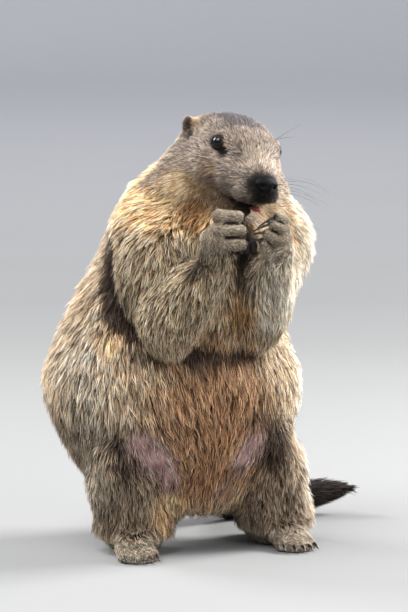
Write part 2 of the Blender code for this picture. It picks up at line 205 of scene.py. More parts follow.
class MarmotSizes(bpy.types.PropertyGroup):
    """Sizes of the skin, the coat and the whiskers"""

    skin_grain: FloatProperty(
        name="Skin grain", description="Edge of the skin's faces", default=2.4 * MM, unit="LENGTH"
    )
    coat_depth: FloatProperty(
        name="Coat depth", description="Share of the usual depth of the coat", default=1.0
    )
    coat_density: FloatProperty(
        name="Coat density", description="Share of the usual number of tufts", default=1.0
    )
    tuft_width: FloatProperty(
        name="Tuft width", description="Share of the usual width of a tuft", default=1.0
    )
    whisker_thickness: FloatProperty(
        name="Whisker thickness", description="Thickness of a whisker at its root",
        default=0.4 * MM, unit="LENGTH",
    )
    seed: IntProperty(name="Seed", description="Number that the coat's chance starts from", default=7)


class MarmotLights(bpy.types.PropertyGroup):
    """Strengths of the studio's lamps"""

    key: FloatProperty(name="Key", description="Power of the key lamp", default=152, unit="POWER")
    fill: FloatProperty(name="Fill", description="Power of the fill lamp", default=36, unit="POWER")
    rim: FloatProperty(name="Rim", description="Power of each rim lamp", default=140, unit="POWER")
    sky: FloatProperty(name="Sky", description="Strength of the light from all round", default=0.42)


def sizes():
    """The sizes that a user may change."""
    return bpy.context.scene.marmot_sizes


def colours():
    """The colours that a user may change."""
    return bpy.context.scene.marmot_colours


def palette_array():
    """Every palette's colours, as an array of palettes, bands and channels."""
    kept = colours()
    return np.array([[list(getattr(kept, f"{name}_{band}")) for band in BANDS] for name in PALETTES])


# ---------------------------------------------------------------- materials

# it carries the painted shade and the painted rim light of the skin and the coat too
PAINT = "marking"  # the painted colours' attribute
TONE_INPUTS = ("Scale", "Patches", "Variation", "Roughness", "Roughness change")

# The tone group's values for each finish, its relief in millimetres and its specular level
FINISHES = {
    "skin": ((900, 60, 0.5, 0.75, 0.2), 0.4, 0.1),
    "coat": ((700, 45, 0.28, 0.72, 0.15), 0, 0.12),
    "eye": ((500, 200, 0.4, 0.06, 0.02), 0, 0.22),
    "eyelid": ((1500, 300, 0.4, 0.45, 0.15), 0.15, 0.2),
    "nose leather": ((1400, 260, 0.6, 0.5, 0.3), 0.35, 0.05),
    "mouth lining": ((1600, 300, 0.5, 0.8, 0.15), 0.3, 0.15),
    "tongue": ((1600, 300, 0.5, 0.45, 0.15), 0.3, 0.15),
    "claw horn": ((900, 220, 0.5, 0.28, 0.2), 0.12, 0.35),
    "paw pad": ((1500, 300, 0.5, 0.65, 0.2), 0.3, 0.15),
    "whisker": ((300, 80, 0.4, 0.4, 0.1), 0, 0.5),
    "stage paper": ((60, 3, 0.03, 0.8, 0.05), 0, 0.5),
}


def tone_group():
    """A node group that varies a colour over the surface, and gives a roughness and a height."""
    group = bpy.data.node_groups.get("Natural tone")
    if group:
        return group
    group = bpy.data.node_groups.new("Natural tone", "ShaderNodeTree")
    face = group.interface
    face.new_socket("Colour", in_out="INPUT", socket_type="NodeSocketColor")
    for name in TONE_INPUTS:
        face.new_socket(name, in_out="INPUT", socket_type="NodeSocketFloat")
    face.new_socket("Colour", in_out="OUTPUT", socket_type="NodeSocketColor")
    for name in ("Roughness", "Height"):
        face.new_socket(name, in_out="OUTPUT", socket_type="NodeSocketFloat")
    nodes, links = group.nodes, group.links
    given = nodes.new("NodeGroupInput")
    out = nodes.new("NodeGroupOutput")
    place = nodes.new("ShaderNodeTexCoord")

    def mottle(size, detail):
        """A noise as fine as an input says."""
        texture = nodes.new("ShaderNodeTexNoise")
        texture.inputs["Detail"].default_value = detail
        links.new(place.outputs["Object"], texture.inputs["Vector"])
        links.new(given.outputs[size], texture.inputs["Scale"])
        return texture.outputs["Fac"]

    def worked_out(operation, first, second, clamp=False):
        """What a sum makes of a socket and another socket or number."""
        node = nodes.new("ShaderNodeMath")
        node.operation = operation
        node.use_clamp = clamp
        links.new(first, node.inputs[0])
        if isinstance(second, float):
            node.inputs[1].default_value = second
        else:
            links.new(second, node.inputs[1])
        return node.outputs[0]

    fine = mottle("Scale", 4)
    centred = worked_out("SUBTRACT", worked_out("ADD", fine, mottle("Patches", 2)), 1.0)
    swing = worked_out("MULTIPLY", centred, given.outputs["Variation"])
    tint = nodes.new("ShaderNodeHueSaturation")
    links.new(worked_out("ADD", swing, 1.0), tint.inputs["Value"])
    links.new(given.outputs["Colour"], tint.inputs["Color"])
    links.new(tint.outputs["Color"], out.inputs["Colour"])
    rough = worked_out("MULTIPLY", centred, given.outputs["Roughness change"])
    rough = worked_out("ADD", rough, given.outputs["Roughness"], clamp=True)
    links.new(rough, out.inputs["Roughness"])
    links.new(fine, out.inputs["Height"])
    return group


def finish(kind, colour=PAINT, name=None, shader=()):
    """A material of one of the finishes, whose colour, or painted attribute, is varied by the tone
    group. shader holds more of the Principled shader's own values."""
    tone, relief, specular = FINISHES[kind]
    material = bpy.data.materials.new(name or f"Marmot {kind}")
    material.use_nodes = True
    nodes, links = material.node_tree.nodes, material.node_tree.links
    principled = nodes["Principled BSDF"]
    for socket, value in (("Specular IOR Level", specular), *shader):
        principled.inputs[socket].default_value = value
    group = nodes.new("ShaderNodeGroup")
    group.node_tree = tone_group()
    for socket, value in zip(TONE_INPUTS, tone):
        group.inputs[socket].default_value = value
    if isinstance(colour, str):
        paint = nodes.new("ShaderNodeAttribute")
        paint.attribute_name = colour
        links.new(paint.outputs["Color"], group.inputs["Colour"])
    else:
        group.inputs["Colour"].default_value = (*colour, 1)
    links.new(group.outputs["Colour"], principled.inputs["Base Color"])
    links.new(group.outputs["Roughness"], principled.inputs["Roughness"])
    if relief:
        bump = nodes.new("ShaderNodeBump")
        bump.inputs["Distance"].default_value = relief * MM
        links.new(group.outputs["Height"], bump.inputs["Height"])
        links.new(bump.outputs["Normal"], principled.inputs["Normal"])
    return material


def piece(name, mesh, material, slot, *stands_for):
    """A finished piece that rides on the one body and stands for the named solids."""
    mesh.name = name
    made = bpy.data.objects.new(name, mesh)
    bpy.context.scene.collection.objects.link(made)
    mesh.materials.clear()
    mesh.materials.append(material)
    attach(made, "root")
    if stands_for:
        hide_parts(*stands_for)
    return made


def paint_on(mesh, colour_rows):
    """Stores a colour for each of the mesh's points."""
    layer = mesh.color_attributes.new(PAINT, "FLOAT_COLOR", "POINT")
    rows = np.ones((len(colour_rows), 4), np.float32)
    rows[:, :3] = colour_rows
    layer.data.foreach_set("color", rows.ravel())


def mesh_of(points, faces):
    """A smooth mesh from arrays of points and of faces that all have as many corners."""
    faces = np.asarray(faces, np.int32)
    mesh = bpy.data.meshes.new("made")
    mesh.vertices.add(len(points))
    mesh.vertices.foreach_set("co", np.asarray(points, np.float32).ravel())
    corners = faces.shape[1]
    mesh.loops.add(faces.size)
    mesh.loops.foreach_set("vertex_index", faces.ravel())
    mesh.polygons.add(len(faces))
    mesh.polygons.foreach_set("loop_start", np.arange(0, faces.size, corners, dtype=np.int32))
    mesh.update(calc_edges=True)
    return smoothed(mesh)


def rows_from(items, name, width, kind=np.float32):
    """One property of all of a mesh's items, as rows of width numbers."""
    rows = np.empty(len(items) * width, kind)
    items.foreach_get(name, rows)
    return rows.reshape(-1, width)


def points_of(mesh):
    return rows_from(mesh.vertices, "co", 3).astype(float)


def normals_of(mesh):
    return rows_from(mesh.vertex_normals, "vector", 3).astype(float)


def edges_of(mesh):
    return rows_from(mesh.edges, "vertices", 2, np.int32)


def triangles_of(mesh):
    mesh.calc_loop_triangles()
    return rows_from(mesh.loop_triangles, "vertices", 3, np.int32)


def tube_faces(steps, section, closed=False, first=0):
    """The faces of a tube whose rings of section points follow each other, from the first one on."""
    faces = []
    for step in range(steps if closed else steps - 1):
        a = step * section
        b = (step + 1) % steps * section
        for k in range(section):
            after = (k + 1) % section
            faces.append(tuple(first + corner for corner in (a + k, a + after, b + after, b + k)))
    return faces


def set_points(mesh, points):
    """Moves the mesh's points."""
    mesh.vertices.foreach_set("co", np.asarray(points, np.float32).ravel())
    mesh.update()


def smoothed(mesh):
    """The mesh with every face shaded smooth."""
    mesh.polygons.foreach_set("use_smooth", np.ones(len(mesh.polygons), bool))
    return mesh


def mesh_from(bm, mesh=None):
    """The mesh that a bmesh holds, in a mesh given or a new one."""
    mesh = mesh or bpy.data.meshes.new("made")
    bm.to_mesh(mesh)
    bm.free()
    return mesh


def spread(values, edges, rounds):
    """Values averaged with those of the points next to them, rounds times."""
    count = np.bincount(edges.ravel(), minlength=len(values))[:, None] + 1.0
    near, far = edges.T
    for _ in range(rounds):
        total = values.copy()
        for k in range(values.shape[1]):
            total[:, k] += np.bincount(near, values[far, k], len(values))
            total[:, k] += np.bincount(far, values[near, k], len(values))
        values = total / count
    return values


# ---------------------------------------------------------------- how the coat lies and grows

# Depth of the coat over the skin, length and width of a tuft, in millimetres, tufts on a square
# centimetre, how far a tuft is drawn into its lock, and the share of tufts that are bent
GROWTH = {
    "head": (2.6, 6.4, 0.52, 165, 0.4, 0.0),
    "ear": (0.8, 4.0, 0.45, 170, 0.3, 0.0),
    "neck": (6.5, 16.0, 0.80, 96, 0.75, 0.35),
    "trunk": (8.0, 21.0, 0.95, 62, 0.8, 0.35),
    "upper_arm": (7.5, 21.0, 0.88, 78, 0.85, 0.35),
    "forearm": (6.5, 18.0, 0.84, 84, 0.85, 0.35),
    "forepaw": (1.2, 5.0, 0.50, 190, 0.4, 0.0),
    "thigh": (7.5, 18.0, 0.90, 66, 0.75, 0.35),
    "shank": (7.5, 17.0, 0.86, 66, 0.75, 0.35),
    "hind_foot": (1.8, 7.0, 0.60, 110, 0.4, 0.0),
    "tail": (6.0, 24.0, 0.95, 80, 0.6, 0.35),
}
MEMBERS = list(GROWTH)
WRIST = 308, 328  # heights between which a forearm turns into its forepaw

HEAD_STROKES = (
    # place, direction and reach, in head millimetres, for the middle and the right of the head
    ((0, -68, 2), (0, 0.8, 0.6), 9),
    ((0, -52, 12), (0, 0.9, 0.45), 15),
    ((0, -25, 30), (0, 1, 0.1), 20),
    ((0, 5, 36), (0, 1, -0.1), 24),
    ((0, 35, 26), (0, 1, -0.5), 24),
    ((-20, -48, -12), (-0.4, 1, -0.1), 14),
    ((-14, -64, -20), (-0.5, 0.8, -0.3), 10),
    ((-33, -28, -4), (-0.25, 1, -0.25), 13),
    ((-24, -22, 22), (-0.15, 1, 0.2), 12),
    ((-40, -10, -14), (-0.1, 1, -0.3), 22),
    ((-36, 0, -34), (-0.1, 1, -0.6), 22),
    ((-38, 8, 14), (-0.1, 1, 0.05), 16),
    ((-42, 46, 2), (-0.1, 0.8, -0.7), 18),
    ((-40, 32, 15), (-0.1, 0.3, 1), 8),
    ((0, -48, -46), (0, 0.8, -0.5), 13),
    ((0, -20, -54), (0, 0.3, -1), 20),
)
BODY_STROKES = (
    # place, direction and reach, in millimetres
    ((-25, -15, 390), (0, 0.8, -0.9), 35),
    ((-35, 40, 345), (0, 0.35, -1), 55),
    ((-45, 115, 230), (0, 0.05, -1), 90),
    ((-45, 125, 110), (0.1, -0.1, -1), 60),
    ((-30, 90, 55), (0.5, 0.2, -0.6), 30),
    ((-95, -45, 372), (-0.7, 0.45, -0.55), 30),
    ((60, -40, 368), (0.7, 0.45, -0.55), 30),
    ((-118, -15, 335), (-0.5, 0.25, -0.9), 32),
    ((62, -10, 330), (0.5, 0.25, -0.9), 32),
    ((-30, -100, 335), (0, -0.1, -1), 40),
    ((-92, -100, 290), (-0.25, 0, -1), 34),
    ((20, -100, 285), (0.2, 0, -1), 34),
    ((-65, -128, 315), (-0.3, -0.1, -1), 20),
    ((-50, -142, 345), (0.8, -0.1, 0.5), 16),
    ((5, -140, 338), (-0.8, -0.1, 0.4), 16),
    ((-165, 20, 180), (0, 0, -1), 60),
    ((85, 20, 180), (0, 0, -1), 60),
    ((-120, -75, 185), (0.3, 0, -1), 45),
    ((40, -75, 185), (-0.3, 0, -1), 45),
    ((-38, -90, 200), (0, 0, -1), 50),
    ((-85, -85, 145), (0.45, 0, -1), 32),
    ((5, -85, 145), (-0.45, 0, -1), 32),
    ((-40, -85, 100), (0, 0.1, -1), 30),
    ((-150, -15, 110), (-0.15, 0, -1), 40),
    ((75, -15, 110), (0.15, 0, -1), 40),
    ((-100, -66, 108), (0.6, 0.1, -0.8), 22),
    ((-5, -68, 105), (-0.6, 0.1, -0.8), 22),
    ((-110, -30, 50), (0, -0.05, -1), 40),
    ((55, -30, 50), (0, -0.05, -1), 40),
    ((-108, -50, 12), (0, -1, -0.15), 24),
    ((54, -50, 12), (0, -1, -0.15), 24),
    ((0, 108, 45), (0.8, 0.5, -0.3), 25),
    ((40, 128, 22), (1, 0.3, -0.1), 35),
    ((90, 134, 20), (1, 0, 0), 35),
    ((140, 126, 24), (1, -0.25, 0.1), 30),
    ((180, 114, 30), (1, -0.25, 0.15), 30),
)

# Colour, place and radii of each marking, painted shade and painted rim light, and how strong it is.
# Those of the head are in head millimetres, and where they lie to the right they are on the left too.
HEAD_MARKINGS_AND_SHADE = (
    ("slate", (0, 8, 30), (34, 34, 16), 0.9),
    ("grizzled", (-38, -10, -8), (18, 22, 16), 0.4),
    ("warm", (-37, -22, -14), (12, 17, 11), 0.6),
    ("cream", (-36, -14, -15), (17, 19, 17), 0.55),
    ("ochre", (-36, 12, -42), (22, 32, 18), 0.8),
    ("warm", (-44, 20, 16), (12, 16, 12), 0.5),
    ("cream", (0, -50, 11), (16, 15, 12), 1.0),
    ("cream", (-14, -50, 0), (9, 11, 9), 0.5),
    ("cream", (-38, -14, 3), (5, 6, 6), 0.5),
    ("cream", (-30, -24, -2), (6, 6, 3), 0.4),
    ("black", (-9, -68, -12), (7, 7, 8.5), 1.0),
    ("black", (-8, -71, -10), (8, 7, 8), 1.0),
    ("black", (0, -70, -3.5), (11, 6, 5), 1.0),
    ("black", (0, -68, -22), (14, 9, 9), 1.0),
    ("grizzled", (-22, -58, -24), (6, 8, 6), 0.6),
    # painted shade in the gap between the lips
    ("black", (-14, -44, -37), (14, 20, 4), 1.0),
    ("warm", (0, -40, -49), (18, 20, 8), 0.7),
    # painted shade in the gap between the lips
    ("black", (0, -45, -39.5), (17, 18, 4.2), 1.8),
    ("black", (-30, -29, 4), (4, 5.5, 4), 1.0),
    ("black", (-29, -31, 5.5), (3, 5, 3.5), 1.4),
    # painted shade in the hollow of each ear
    ("black", (-41, 21, 4), (5, 6, 6), 1.0),
    ("ochre", (-35, 28, 20), (7, 8, 7), 0.7),
    # painted shade in the hollow of each ear
    ("dark", (-44, 28, 12), (4, 5, 8), 1.0),
)
BODY_MARKINGS_SHADE_AND_RIM_LIGHT = (
    ("back", (-42, 70, 372), (62, 46, 50), 0.9),
    ("grizzled", (-42, 22, 408), (66, 46, 24), 0.8),
    ("belly", (-38, -95, 165), (90, 50, 80), 1.0),
    ("belly", (-32, -75, 90), (50, 40, 55), 1.0),
    # painted shade where the thighs meet the belly
    ("dark", (-70, -70, 150), (26, 30, 26), 0.45),
    ("dark", (5, -70, 150), (26, 30, 26), 0.45),
    # pale fur with painted rim light along the flanks' edges and the left arm
    ("pale", (-160, -20, 190), (34, 60, 80), 0.6),
    ("pale", (90, -20, 190), (34, 70, 80), 0.8),
    ("pale", (68, -60, 310), (28, 60, 70), 1.25),
    ("ochre", (-80, -60, 362), (50, 50, 22), 0.8),
    # pale fur with painted rim light along the right shoulder's edge
    ("pale", (-122, -20, 335), (26, 40, 24), 0.5),
    ("ochre", (40, -74, 345), (30, 36, 28), 0.5),
    ("arm", (-110, -90, 300), (40, 40, 40), 0.6),
    ("ochre", (-134, -38, 228), (16, 20, 22), 0.7),
    # dark fur with painted shade in the fold behind the right arm
    ("dark", (-129, -20, 328), (14, 13, 14), 1.2),
    ("dark", (-132, -15, 311), (14, 18, 16), 1.2),
    ("dark", (-132, -23, 293), (14, 18, 16), 1.2),
    ("dark", (-132, -31, 274), (14, 17, 16), 1.2),
    ("dark", (-130, -41, 255), (14, 17, 14), 1.5),
    ("dark", (-122, -60, 242), (14, 14, 10), 1.3),
    # painted shadow under the hem of the arms' fur
    ("dark", (-100, -68, 219), (34, 34, 10), 0.7),
    ("dark", (-57, -78, 217), (30, 34, 10), 0.8),
    ("dark", (-5, -74, 215), (32, 34, 10), 0.8),
    # painted shadow on the right forearm and on the chest between the forearms
    ("dark", (-80, -126, 312), (16, 14, 19), 0.88),
    ("dark", (-22, -104, 300), (11, 22, 34), 0.8),
    ("warm", (-22, -104, 262), (16, 26, 24), 0.7),
    ("pale", (14, -124, 280), (26, 32, 44), 1.5),
    # warm brown fur, darkened as painted shade under the cheek
    ("warm", (-58, -68, 354), (15, 20, 14), 1.2),
    # painted shade on the chest under the forepaws
    ("black", (-14, -95, 328), (17, 16, 26), 1.0),
    # painted shade on the front of each knee
    ("dark", (-128, -62, 116), (24, 24, 34), 0.75),
    ("dark", (32, -62, 116), (20, 24, 34), 0.8),
    # pale fur with painted rim light along the legs' edges
    ("pale", (-150, -10, 80), (22, 40, 50), 0.45),
    ("pale", (86, -10, 80), (22, 40, 60), 0.7),
    ("ochre", (-76, -42, 54), (16, 24, 30), 1.0),
    ("bare", (-116, -66, 127), (15, 18, 13), 1.2),
    ("bare", (-99, -66, 106), (13, 18, 15), 1.2),
    ("bare", (-83, -60, 84), (11, 16, 15), 0.8),
    ("bare", (7, -70, 122), (12, 18, 14), 1.2),
    ("bare", (-6, -68, 102), (12, 18, 15), 1.2),
    ("bare", (-24, -60, 76), (11, 16, 14), 0.7),
)
MEMBER_COLOUR = {
    "head": "grizzled", "ear": "grizzled", "neck": "ochre", "trunk": "back", "upper_arm": "arm",
    "forearm": "arm", "forepaw": "paw", "thigh": "leg", "shank": "leg", "hind_foot": "paw",
    "tail": "tail",
}


def mirrored(rows, place=0, direction=None):
    """The rows, and for each that lies to the right a second one on the left."""
    for row in rows:
        yield row
        if row[place][0] < 0:
            other = list(row)
            other[place] = (-row[place][0], *row[place][1:])
            if direction is not None:
                other[direction] = (-row[direction][0], *row[direction][1:])
            yield other


def of_member(shares, name):
    """How much each point belongs to one member."""
    return shares[:, MEMBERS.index(name)]


def of_colour(paint, name):
    """How much each point has of one of the coat's colours."""
    return paint[:, PALETTE_NAMES.index(name)]


def member_shares(points, edges):
    """How much each point of the skin belongs to each member, smooth across the joins."""
    corners, faces, owners = [], [], []
    for node in FLESH:
        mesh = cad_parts[node].data
        first = len(corners)
        corners += [v.co.copy() for v in mesh.vertices]
        faces += [[first + k for k in polygon.vertices] for polygon in mesh.polygons]
        member = next(k for k, name in enumerate(MEMBERS) if node.startswith(name))
        owners += [member] * len(mesh.polygons)
    tree = BVHTree.FromPolygons(corners, faces)
    shares = np.zeros((len(points), len(MEMBERS)))
    for i, point in enumerate(points):
        shares[i, owners[tree.find_nearest(point)[2]]] = 1
    forepaw, forearm = of_member(shares, "forepaw"), of_member(shares, "forearm")
    wrist = forepaw * (1 - ramp(points[:, 2] / MM, *WRIST))
    forepaw -= wrist
    forearm += wrist
    return spread(shares, edges, 14)


def lie_of(points, normals):
    """The way the coat lies at each point, along the skin."""
    head_points = in_head(points)
    lie = np.tile((0.0, 0.0, -0.03), (len(points), 1))
    for place, direction, reach in mirrored(HEAD_STROKES, 0, 1):
        away = np.linalg.norm(head_points - np.array(place), axis=1) / reach
        lie += np.exp(-away * away)[:, None] * np.array(HEAD_TURN @ Vector(direction).normalized())
    for place, direction, reach in BODY_STROKES:
        away = np.linalg.norm(points / MM - np.array(place), axis=1) / reach
        lie += np.exp(-away * away)[:, None] * np.array(Vector(direction).normalized())
    lie -= (lie * normals).sum(axis=1, keepdims=True) * normals
    return unit(lie)


def paint_shares(points, shares):
    """How much each point of the skin has of each of the coat's colours."""
    paint = np.zeros((len(points), len(PALETTES)))
    for k, name in enumerate(MEMBERS):
        of_colour(paint, MEMBER_COLOUR[name])[:] += shares[:, k]
    head_points = in_head(points)
    for name, place, radii, strength in mirrored(HEAD_MARKINGS_AND_SHADE, 1):
        lay_on(paint, name, np.minimum(strength * bump_at(head_points, place, radii), 1))
    for name, place, radii, strength in BODY_MARKINGS_SHADE_AND_RIM_LIGHT:
        lay_on(paint, name, np.minimum(strength * bump_at(points / MM, place, radii), 1))
    reach, facing = round_eye(points)
    aside = reach * np.sqrt(np.maximum(1 - facing * facing, 0))
    lay_on(paint, "black", (1 - ramp(aside, *EYE_RING)) * (facing > 0) * (reach < 2 * EYE_RADIUS))
    # dark fur with painted shade in the grooves between the digits, and the digits' dark ends
    for groove, end in (digit_marks(points, name) for name in SIDES):
        lay_on(paint, "black", np.maximum(groove, 0.9 * end))
    return paint


def round_eye(points):
    """For each point its distance from the nearer eye, and how far it faces the way the eye looks."""
    offset = in_head(points, fold=True) - EYE
    reach = np.linalg.norm(offset, axis=1)
    return reach, (offset / np.maximum(reach, 1e-6)[:, None]) @ np.array(EYE_LOOK)


def leading(paint):
    """The shares of the colours with the largest one strengthened, so that dark places stay dark."""
    strong = paint ** LEAD
    return strong / strong.sum(axis=1, keepdims=True)


def lay_on(paint, name, weight):
    """Lays one colour over the others."""
    paint *= 1 - weight[:, None]
    of_colour(paint, name)[:] += weight


# ---------------------------------------------------------------- digits of the forepaws

DIGITS = {
    # root and tip of each digit of the forepaws, the topmost first, in the body's millimetres
    "right": (
        ((-19, -155, 355.5), (1, -158.5, 354.5)),
        ((-21, -155.5, 342), (3.2, -160, 341)),
        ((-19, -154, 328.5), (5.5, -158.5, 327.5)),
        ((-14, -147, 317), (3.5, -150, 316.5)),
    ),
    "left": (
        ((50, -149, 347.5), (40.5, -160, 353.5)),
        ((51, -151, 338), (34.5, -162, 346.5)),
        ((45, -152, 327.5), (29, -161, 337.5)),
        ((38, -148, 318.5), (26, -157, 328.5)),
    ),
}
PALM = {
    "right": ((-14, -140, 306), (-21.2, -147.9, 331.8)),
    "left": ((50, -136, 304), (48.1, -146, 329)),
}
PALM_RADII = (16.5, 12.5)
DIGIT_RADII = {"right": (6.3, 4.8), "left": (6.3, 3.7)}  # of the skin, at root and tip
DARK_ENDS = {"right": (0.1, 0.8), "left": (0.4, 1.0)}  # where the digits' ends turn dark
GROOVE_WIDTH = 1.3
DIGIT_BLEND = 0.8  # how softly palm and digits run together
BETWEEN_PAWS = 17.5  # x of the gap between the two paws


def from_limb(points, start, end, radii):
    """Distance from a tapered limb, the way out of it, and how far along it each point is."""
    start, end = np.array(start, float), np.array(end, float)
    along = end - start
    share = np.clip((points - start) @ along / (along @ along), 0, 1)
    offset = points - start - share[:, None] * along
    reach = np.linalg.norm(offset, axis=1)
    return reach - radii[0] - share * (radii[1] - radii[0]), unit(offset), share


def hand_shape(points, name):
    """Distance from a forepaw's skin and the way out of it."""
    limbs = [from_limb(points, *ends, DIGIT_RADII[name]) for ends in DIGITS[name]]
    limbs.append(from_limb(points, *PALM[name], PALM_RADII))
    distances = np.array([limb[0] for limb in limbs])
    ways = np.array([limb[1] for limb in limbs])
    weights = np.exp(-(distances - distances.min(axis=0)) / DIGIT_BLEND)
    distance = distances.min(axis=0) - DIGIT_BLEND * np.log(weights.sum(axis=0))
    weights /= weights.sum(axis=0)
    return distance, unit((weights[..., None] * ways).sum(axis=0))


def digit_marks(points, name):
    """How much each point lies in a groove between two digits, and on a digit's dark end."""
    local = moved(points, CLAY.inverted())
    limbs = [from_limb(local, *ends, DIGIT_RADII[name]) for ends in DIGITS[name]]
    distances = np.array([limb[0] for limb in limbs])
    order = distances.argsort(axis=0)
    near, second = np.take_along_axis(distances, order[:2], axis=0)
    share = np.take_along_axis(np.array([limb[2] for limb in limbs]), order[:1], axis=0)[0]
    aside = (second - near) / GROOVE_WIDTH
    window = ramp(share, 0.12, 0.3) * (1 - ramp(share, 0.8, 0.95)) * (1 - ramp(near, 3, 5))
    groove = np.exp(-aside * aside) * window
    end = np.zeros(len(points))
    tip_radius = DIGIT_RADII[name][1]
    for start, tip in DIGITS[name]:
        offset = local - tip
        beyond = offset @ unit(np.subtract(tip, start)) / tip_radius
        near_tip = np.linalg.norm(offset, axis=1) < 2 * tip_radius
        end = np.maximum(end, ramp(beyond, *DARK_ENDS[name]) * near_tip)
    return groove, end


# ---------------------------------------------------------------- skin

FLESH = sorted(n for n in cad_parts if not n.startswith(("eye", "nose", "claw")))
UNDER_SKIN = sorted(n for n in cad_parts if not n.startswith("claw"))
SEAM = 0.4 * MM  # how far the members swell so that they meet

# Hollows pressed into the skin, in millimetres
EAR_HOLLOW = (43.5, 27, 7), (7, 6.5, 7.5), 4.6  # middle, radii and depth in the left ear
EAR_WAY = (0.9, -0.4, 0.0)  # the way that it opens
LIP_GAP = (17, 16, 3.2), 4.5  # radii and depth between the lips
FOLD_RADII, FOLD_DEPTH = (16, 9, 16), 5
ARM_FOLD = (
    # places along the fold behind the right arm
    (-126, -16, 322), (-129, -22, 308), (-130, -30, 287), (-130, -37, 266), (-128, -43, 246),
)

# How the skin lies round an eye, in eye radii and by how far a place faces the way the eye looks
EYE_OPENING, OPENING_DEPTH, OPENING_REACH = (0.60, 0.76), 0.72, 1.9
EYE_RIM, RIM_HEIGHT, RIM_REACH = 0.58, 1.09, 1.7
NOSE_HOLLOW = 0.95, 1.2  # where the skin under the nose pad is drawn in, in the pad's radii

FINE_ZONES = (
    # frame, middle and reach of each place with finer faces, for each round of making them finer
    (
        (HEAD, (0, -36, -6), 56),
        (HEAD, (-39, 31, 9), 20),
        (HEAD, (39, 31, 9), 20),
        (BODY, (-50, -140, 338), 30),
        (BODY, (-4, -142, 334), 30),
        (BODY, (-108, -55, 8), 34),
        (BODY, (54, -55, 8), 34),
    ),
    (
        (HEAD, (-31, -22, 9), 15),
        (HEAD, (31, -22, 9), 15),
        (HEAD, (0, -66, -16), 20),
        (BODY, (-48, -146, 338), 22),
        (BODY, (-6, -148, 334), 22),
    ),
)


def joined_flesh():
    """The solids of flesh, with the eyes and the nose, swollen until they meet."""
    bm = bmesh.new()
    for name in UNDER_SKIN:
        bm.from_mesh(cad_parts[name].data)
    bmesh.ops.remove_doubles(bm, verts=bm.verts, dist=1e-6)
    bmesh.ops.recalc_face_normals(bm, faces=bm.faces)
    bm.normal_update()
    for vert in bm.verts:
        vert.co += vert.normal * SEAM
    return mesh_from(bm)


def shaped(mesh, *modifiers):
    """A new mesh, made from one by modifiers, each a type and its settings."""
    holder = bpy.data.objects.new("holder", mesh)
    bpy.context.scene.collection.objects.link(holder)
    for kind, settings in modifiers:
        modifier = holder.modifiers.new(kind, kind)
        for name, value in settings.items():
            setattr(modifier, name, value)
    bpy.context.view_layer.update()
    evaluated = holder.evaluated_get(bpy.context.evaluated_depsgraph_get())
    result = bpy.data.meshes.new_from_object(evaluated)
    bpy.data.objects.remove(holder)
    bpy.data.meshes.remove(mesh)
    return result


def refined(mesh):
    """The mesh with smaller faces on the face, the ears and the paws."""
    for zones in FINE_ZONES:
        points = points_of(mesh)
        fine = np.zeros(len(points), bool)
        for matrix, centre, reach in zones:
            local = moved(points, matrix.inverted())
            fine |= np.linalg.norm(local - np.array(centre), axis=1) < reach
        bm = bmesh.new()
        bm.from_mesh(mesh)
        bm.verts.ensure_lookup_table()
        edges = [e for e in bm.edges if fine[e.verts[0].index] and fine[e.verts[1].index]]
        bmesh.ops.subdivide_edges(bm, edges=edges, cuts=1, use_grid_fill=True, smooth=0.6)
        bmesh.ops.triangulate(bm, faces=[f for f in bm.faces if len(f.verts) > 4])
        mesh_from(bm, mesh)
    return mesh


def coat_depth_of(points, shares, paint):
    """How far the skin lies under the tips of the coat, in metres."""
    depth = shares @ np.array([row[0] for row in GROWTH.values()])
    local = in_head(points, fold=True)
    near_nose = bump_at(local, NOSE, (26, 26, 26))
    near_eye = bump_at(local, EYE, (17, 17, 17))
    depth *= (1 - 0.65 * near_nose) * (1 - 0.75 * near_eye)
    depth *= 1 - 0.7 * of_colour(paint, "bare")
    depth *= 1 - 0.8 * bump_at(local, MOUTH, (20, 20, 6))
    sole = 1 - ramp(points[:, 2] / MM, 1.0, 6.0)
    return depth * (1 - 0.9 * sole) * MM * sizes().coat_depth


def sink_eyes(points):
    """Opens the skin over each eye and lays it close round the eyeball."""
    local = in_head(points)
    for side in SIDES.values():
        centre = EYE * (side, 1, 1)
        look = np.array((side * EYE_LOOK.x, EYE_LOOK.y, EYE_LOOK.z))
        offset = local - centre
        reach = np.linalg.norm(offset, axis=1)
        toward = offset / np.maximum(reach, 1e-6)[:, None]
        facing = toward @ look
        open_share = ramp(facing, *EYE_OPENING) * (reach < OPENING_REACH * EYE_RADIUS)
        rim = (1 - ramp(np.abs(facing - EYE_RIM), 0.0, 0.4)) * (reach < RIM_REACH * EYE_RADIUS)
        target = EYE_RADIUS * np.where(open_share > 0.5, OPENING_DEPTH, RIM_HEIGHT)
        pull = np.maximum(open_share, 0.85 * rim)
        local += toward * ((target - reach) * pull)[:, None]
    return moved(local, HEAD)


def sink_nose(points):
    """Draws the skin in under the nose pad, so that the nostrils stay open."""
    offset = (in_head(points) - NOSE) / NOSE_RADII
    reach = np.linalg.norm(offset, axis=1, keepdims=True)
    pull = 1 - ramp(reach, *NOSE_HOLLOW)
    return moved(NOSE + NOSE_RADII * offset * (1 - 0.45 * pull), HEAD)


def hollow_ears(points, normals):
    """Presses the shell of each ear in on its outer face."""
    local = in_head(points)
    outward = unit(normals @ np.array(HEAD_TURN))
    centre, radii, depth = EAR_HOLLOW
    for side in SIDES.values():
        way = np.multiply(EAR_WAY, (side, 1, 1))
        cup = bump_at(local, np.multiply(centre, (side, 1, 1)), radii)
        local -= (cup * ramp(outward @ unit(way), 0.1, 0.6) * depth)[:, None] * way
    return moved(local, HEAD)


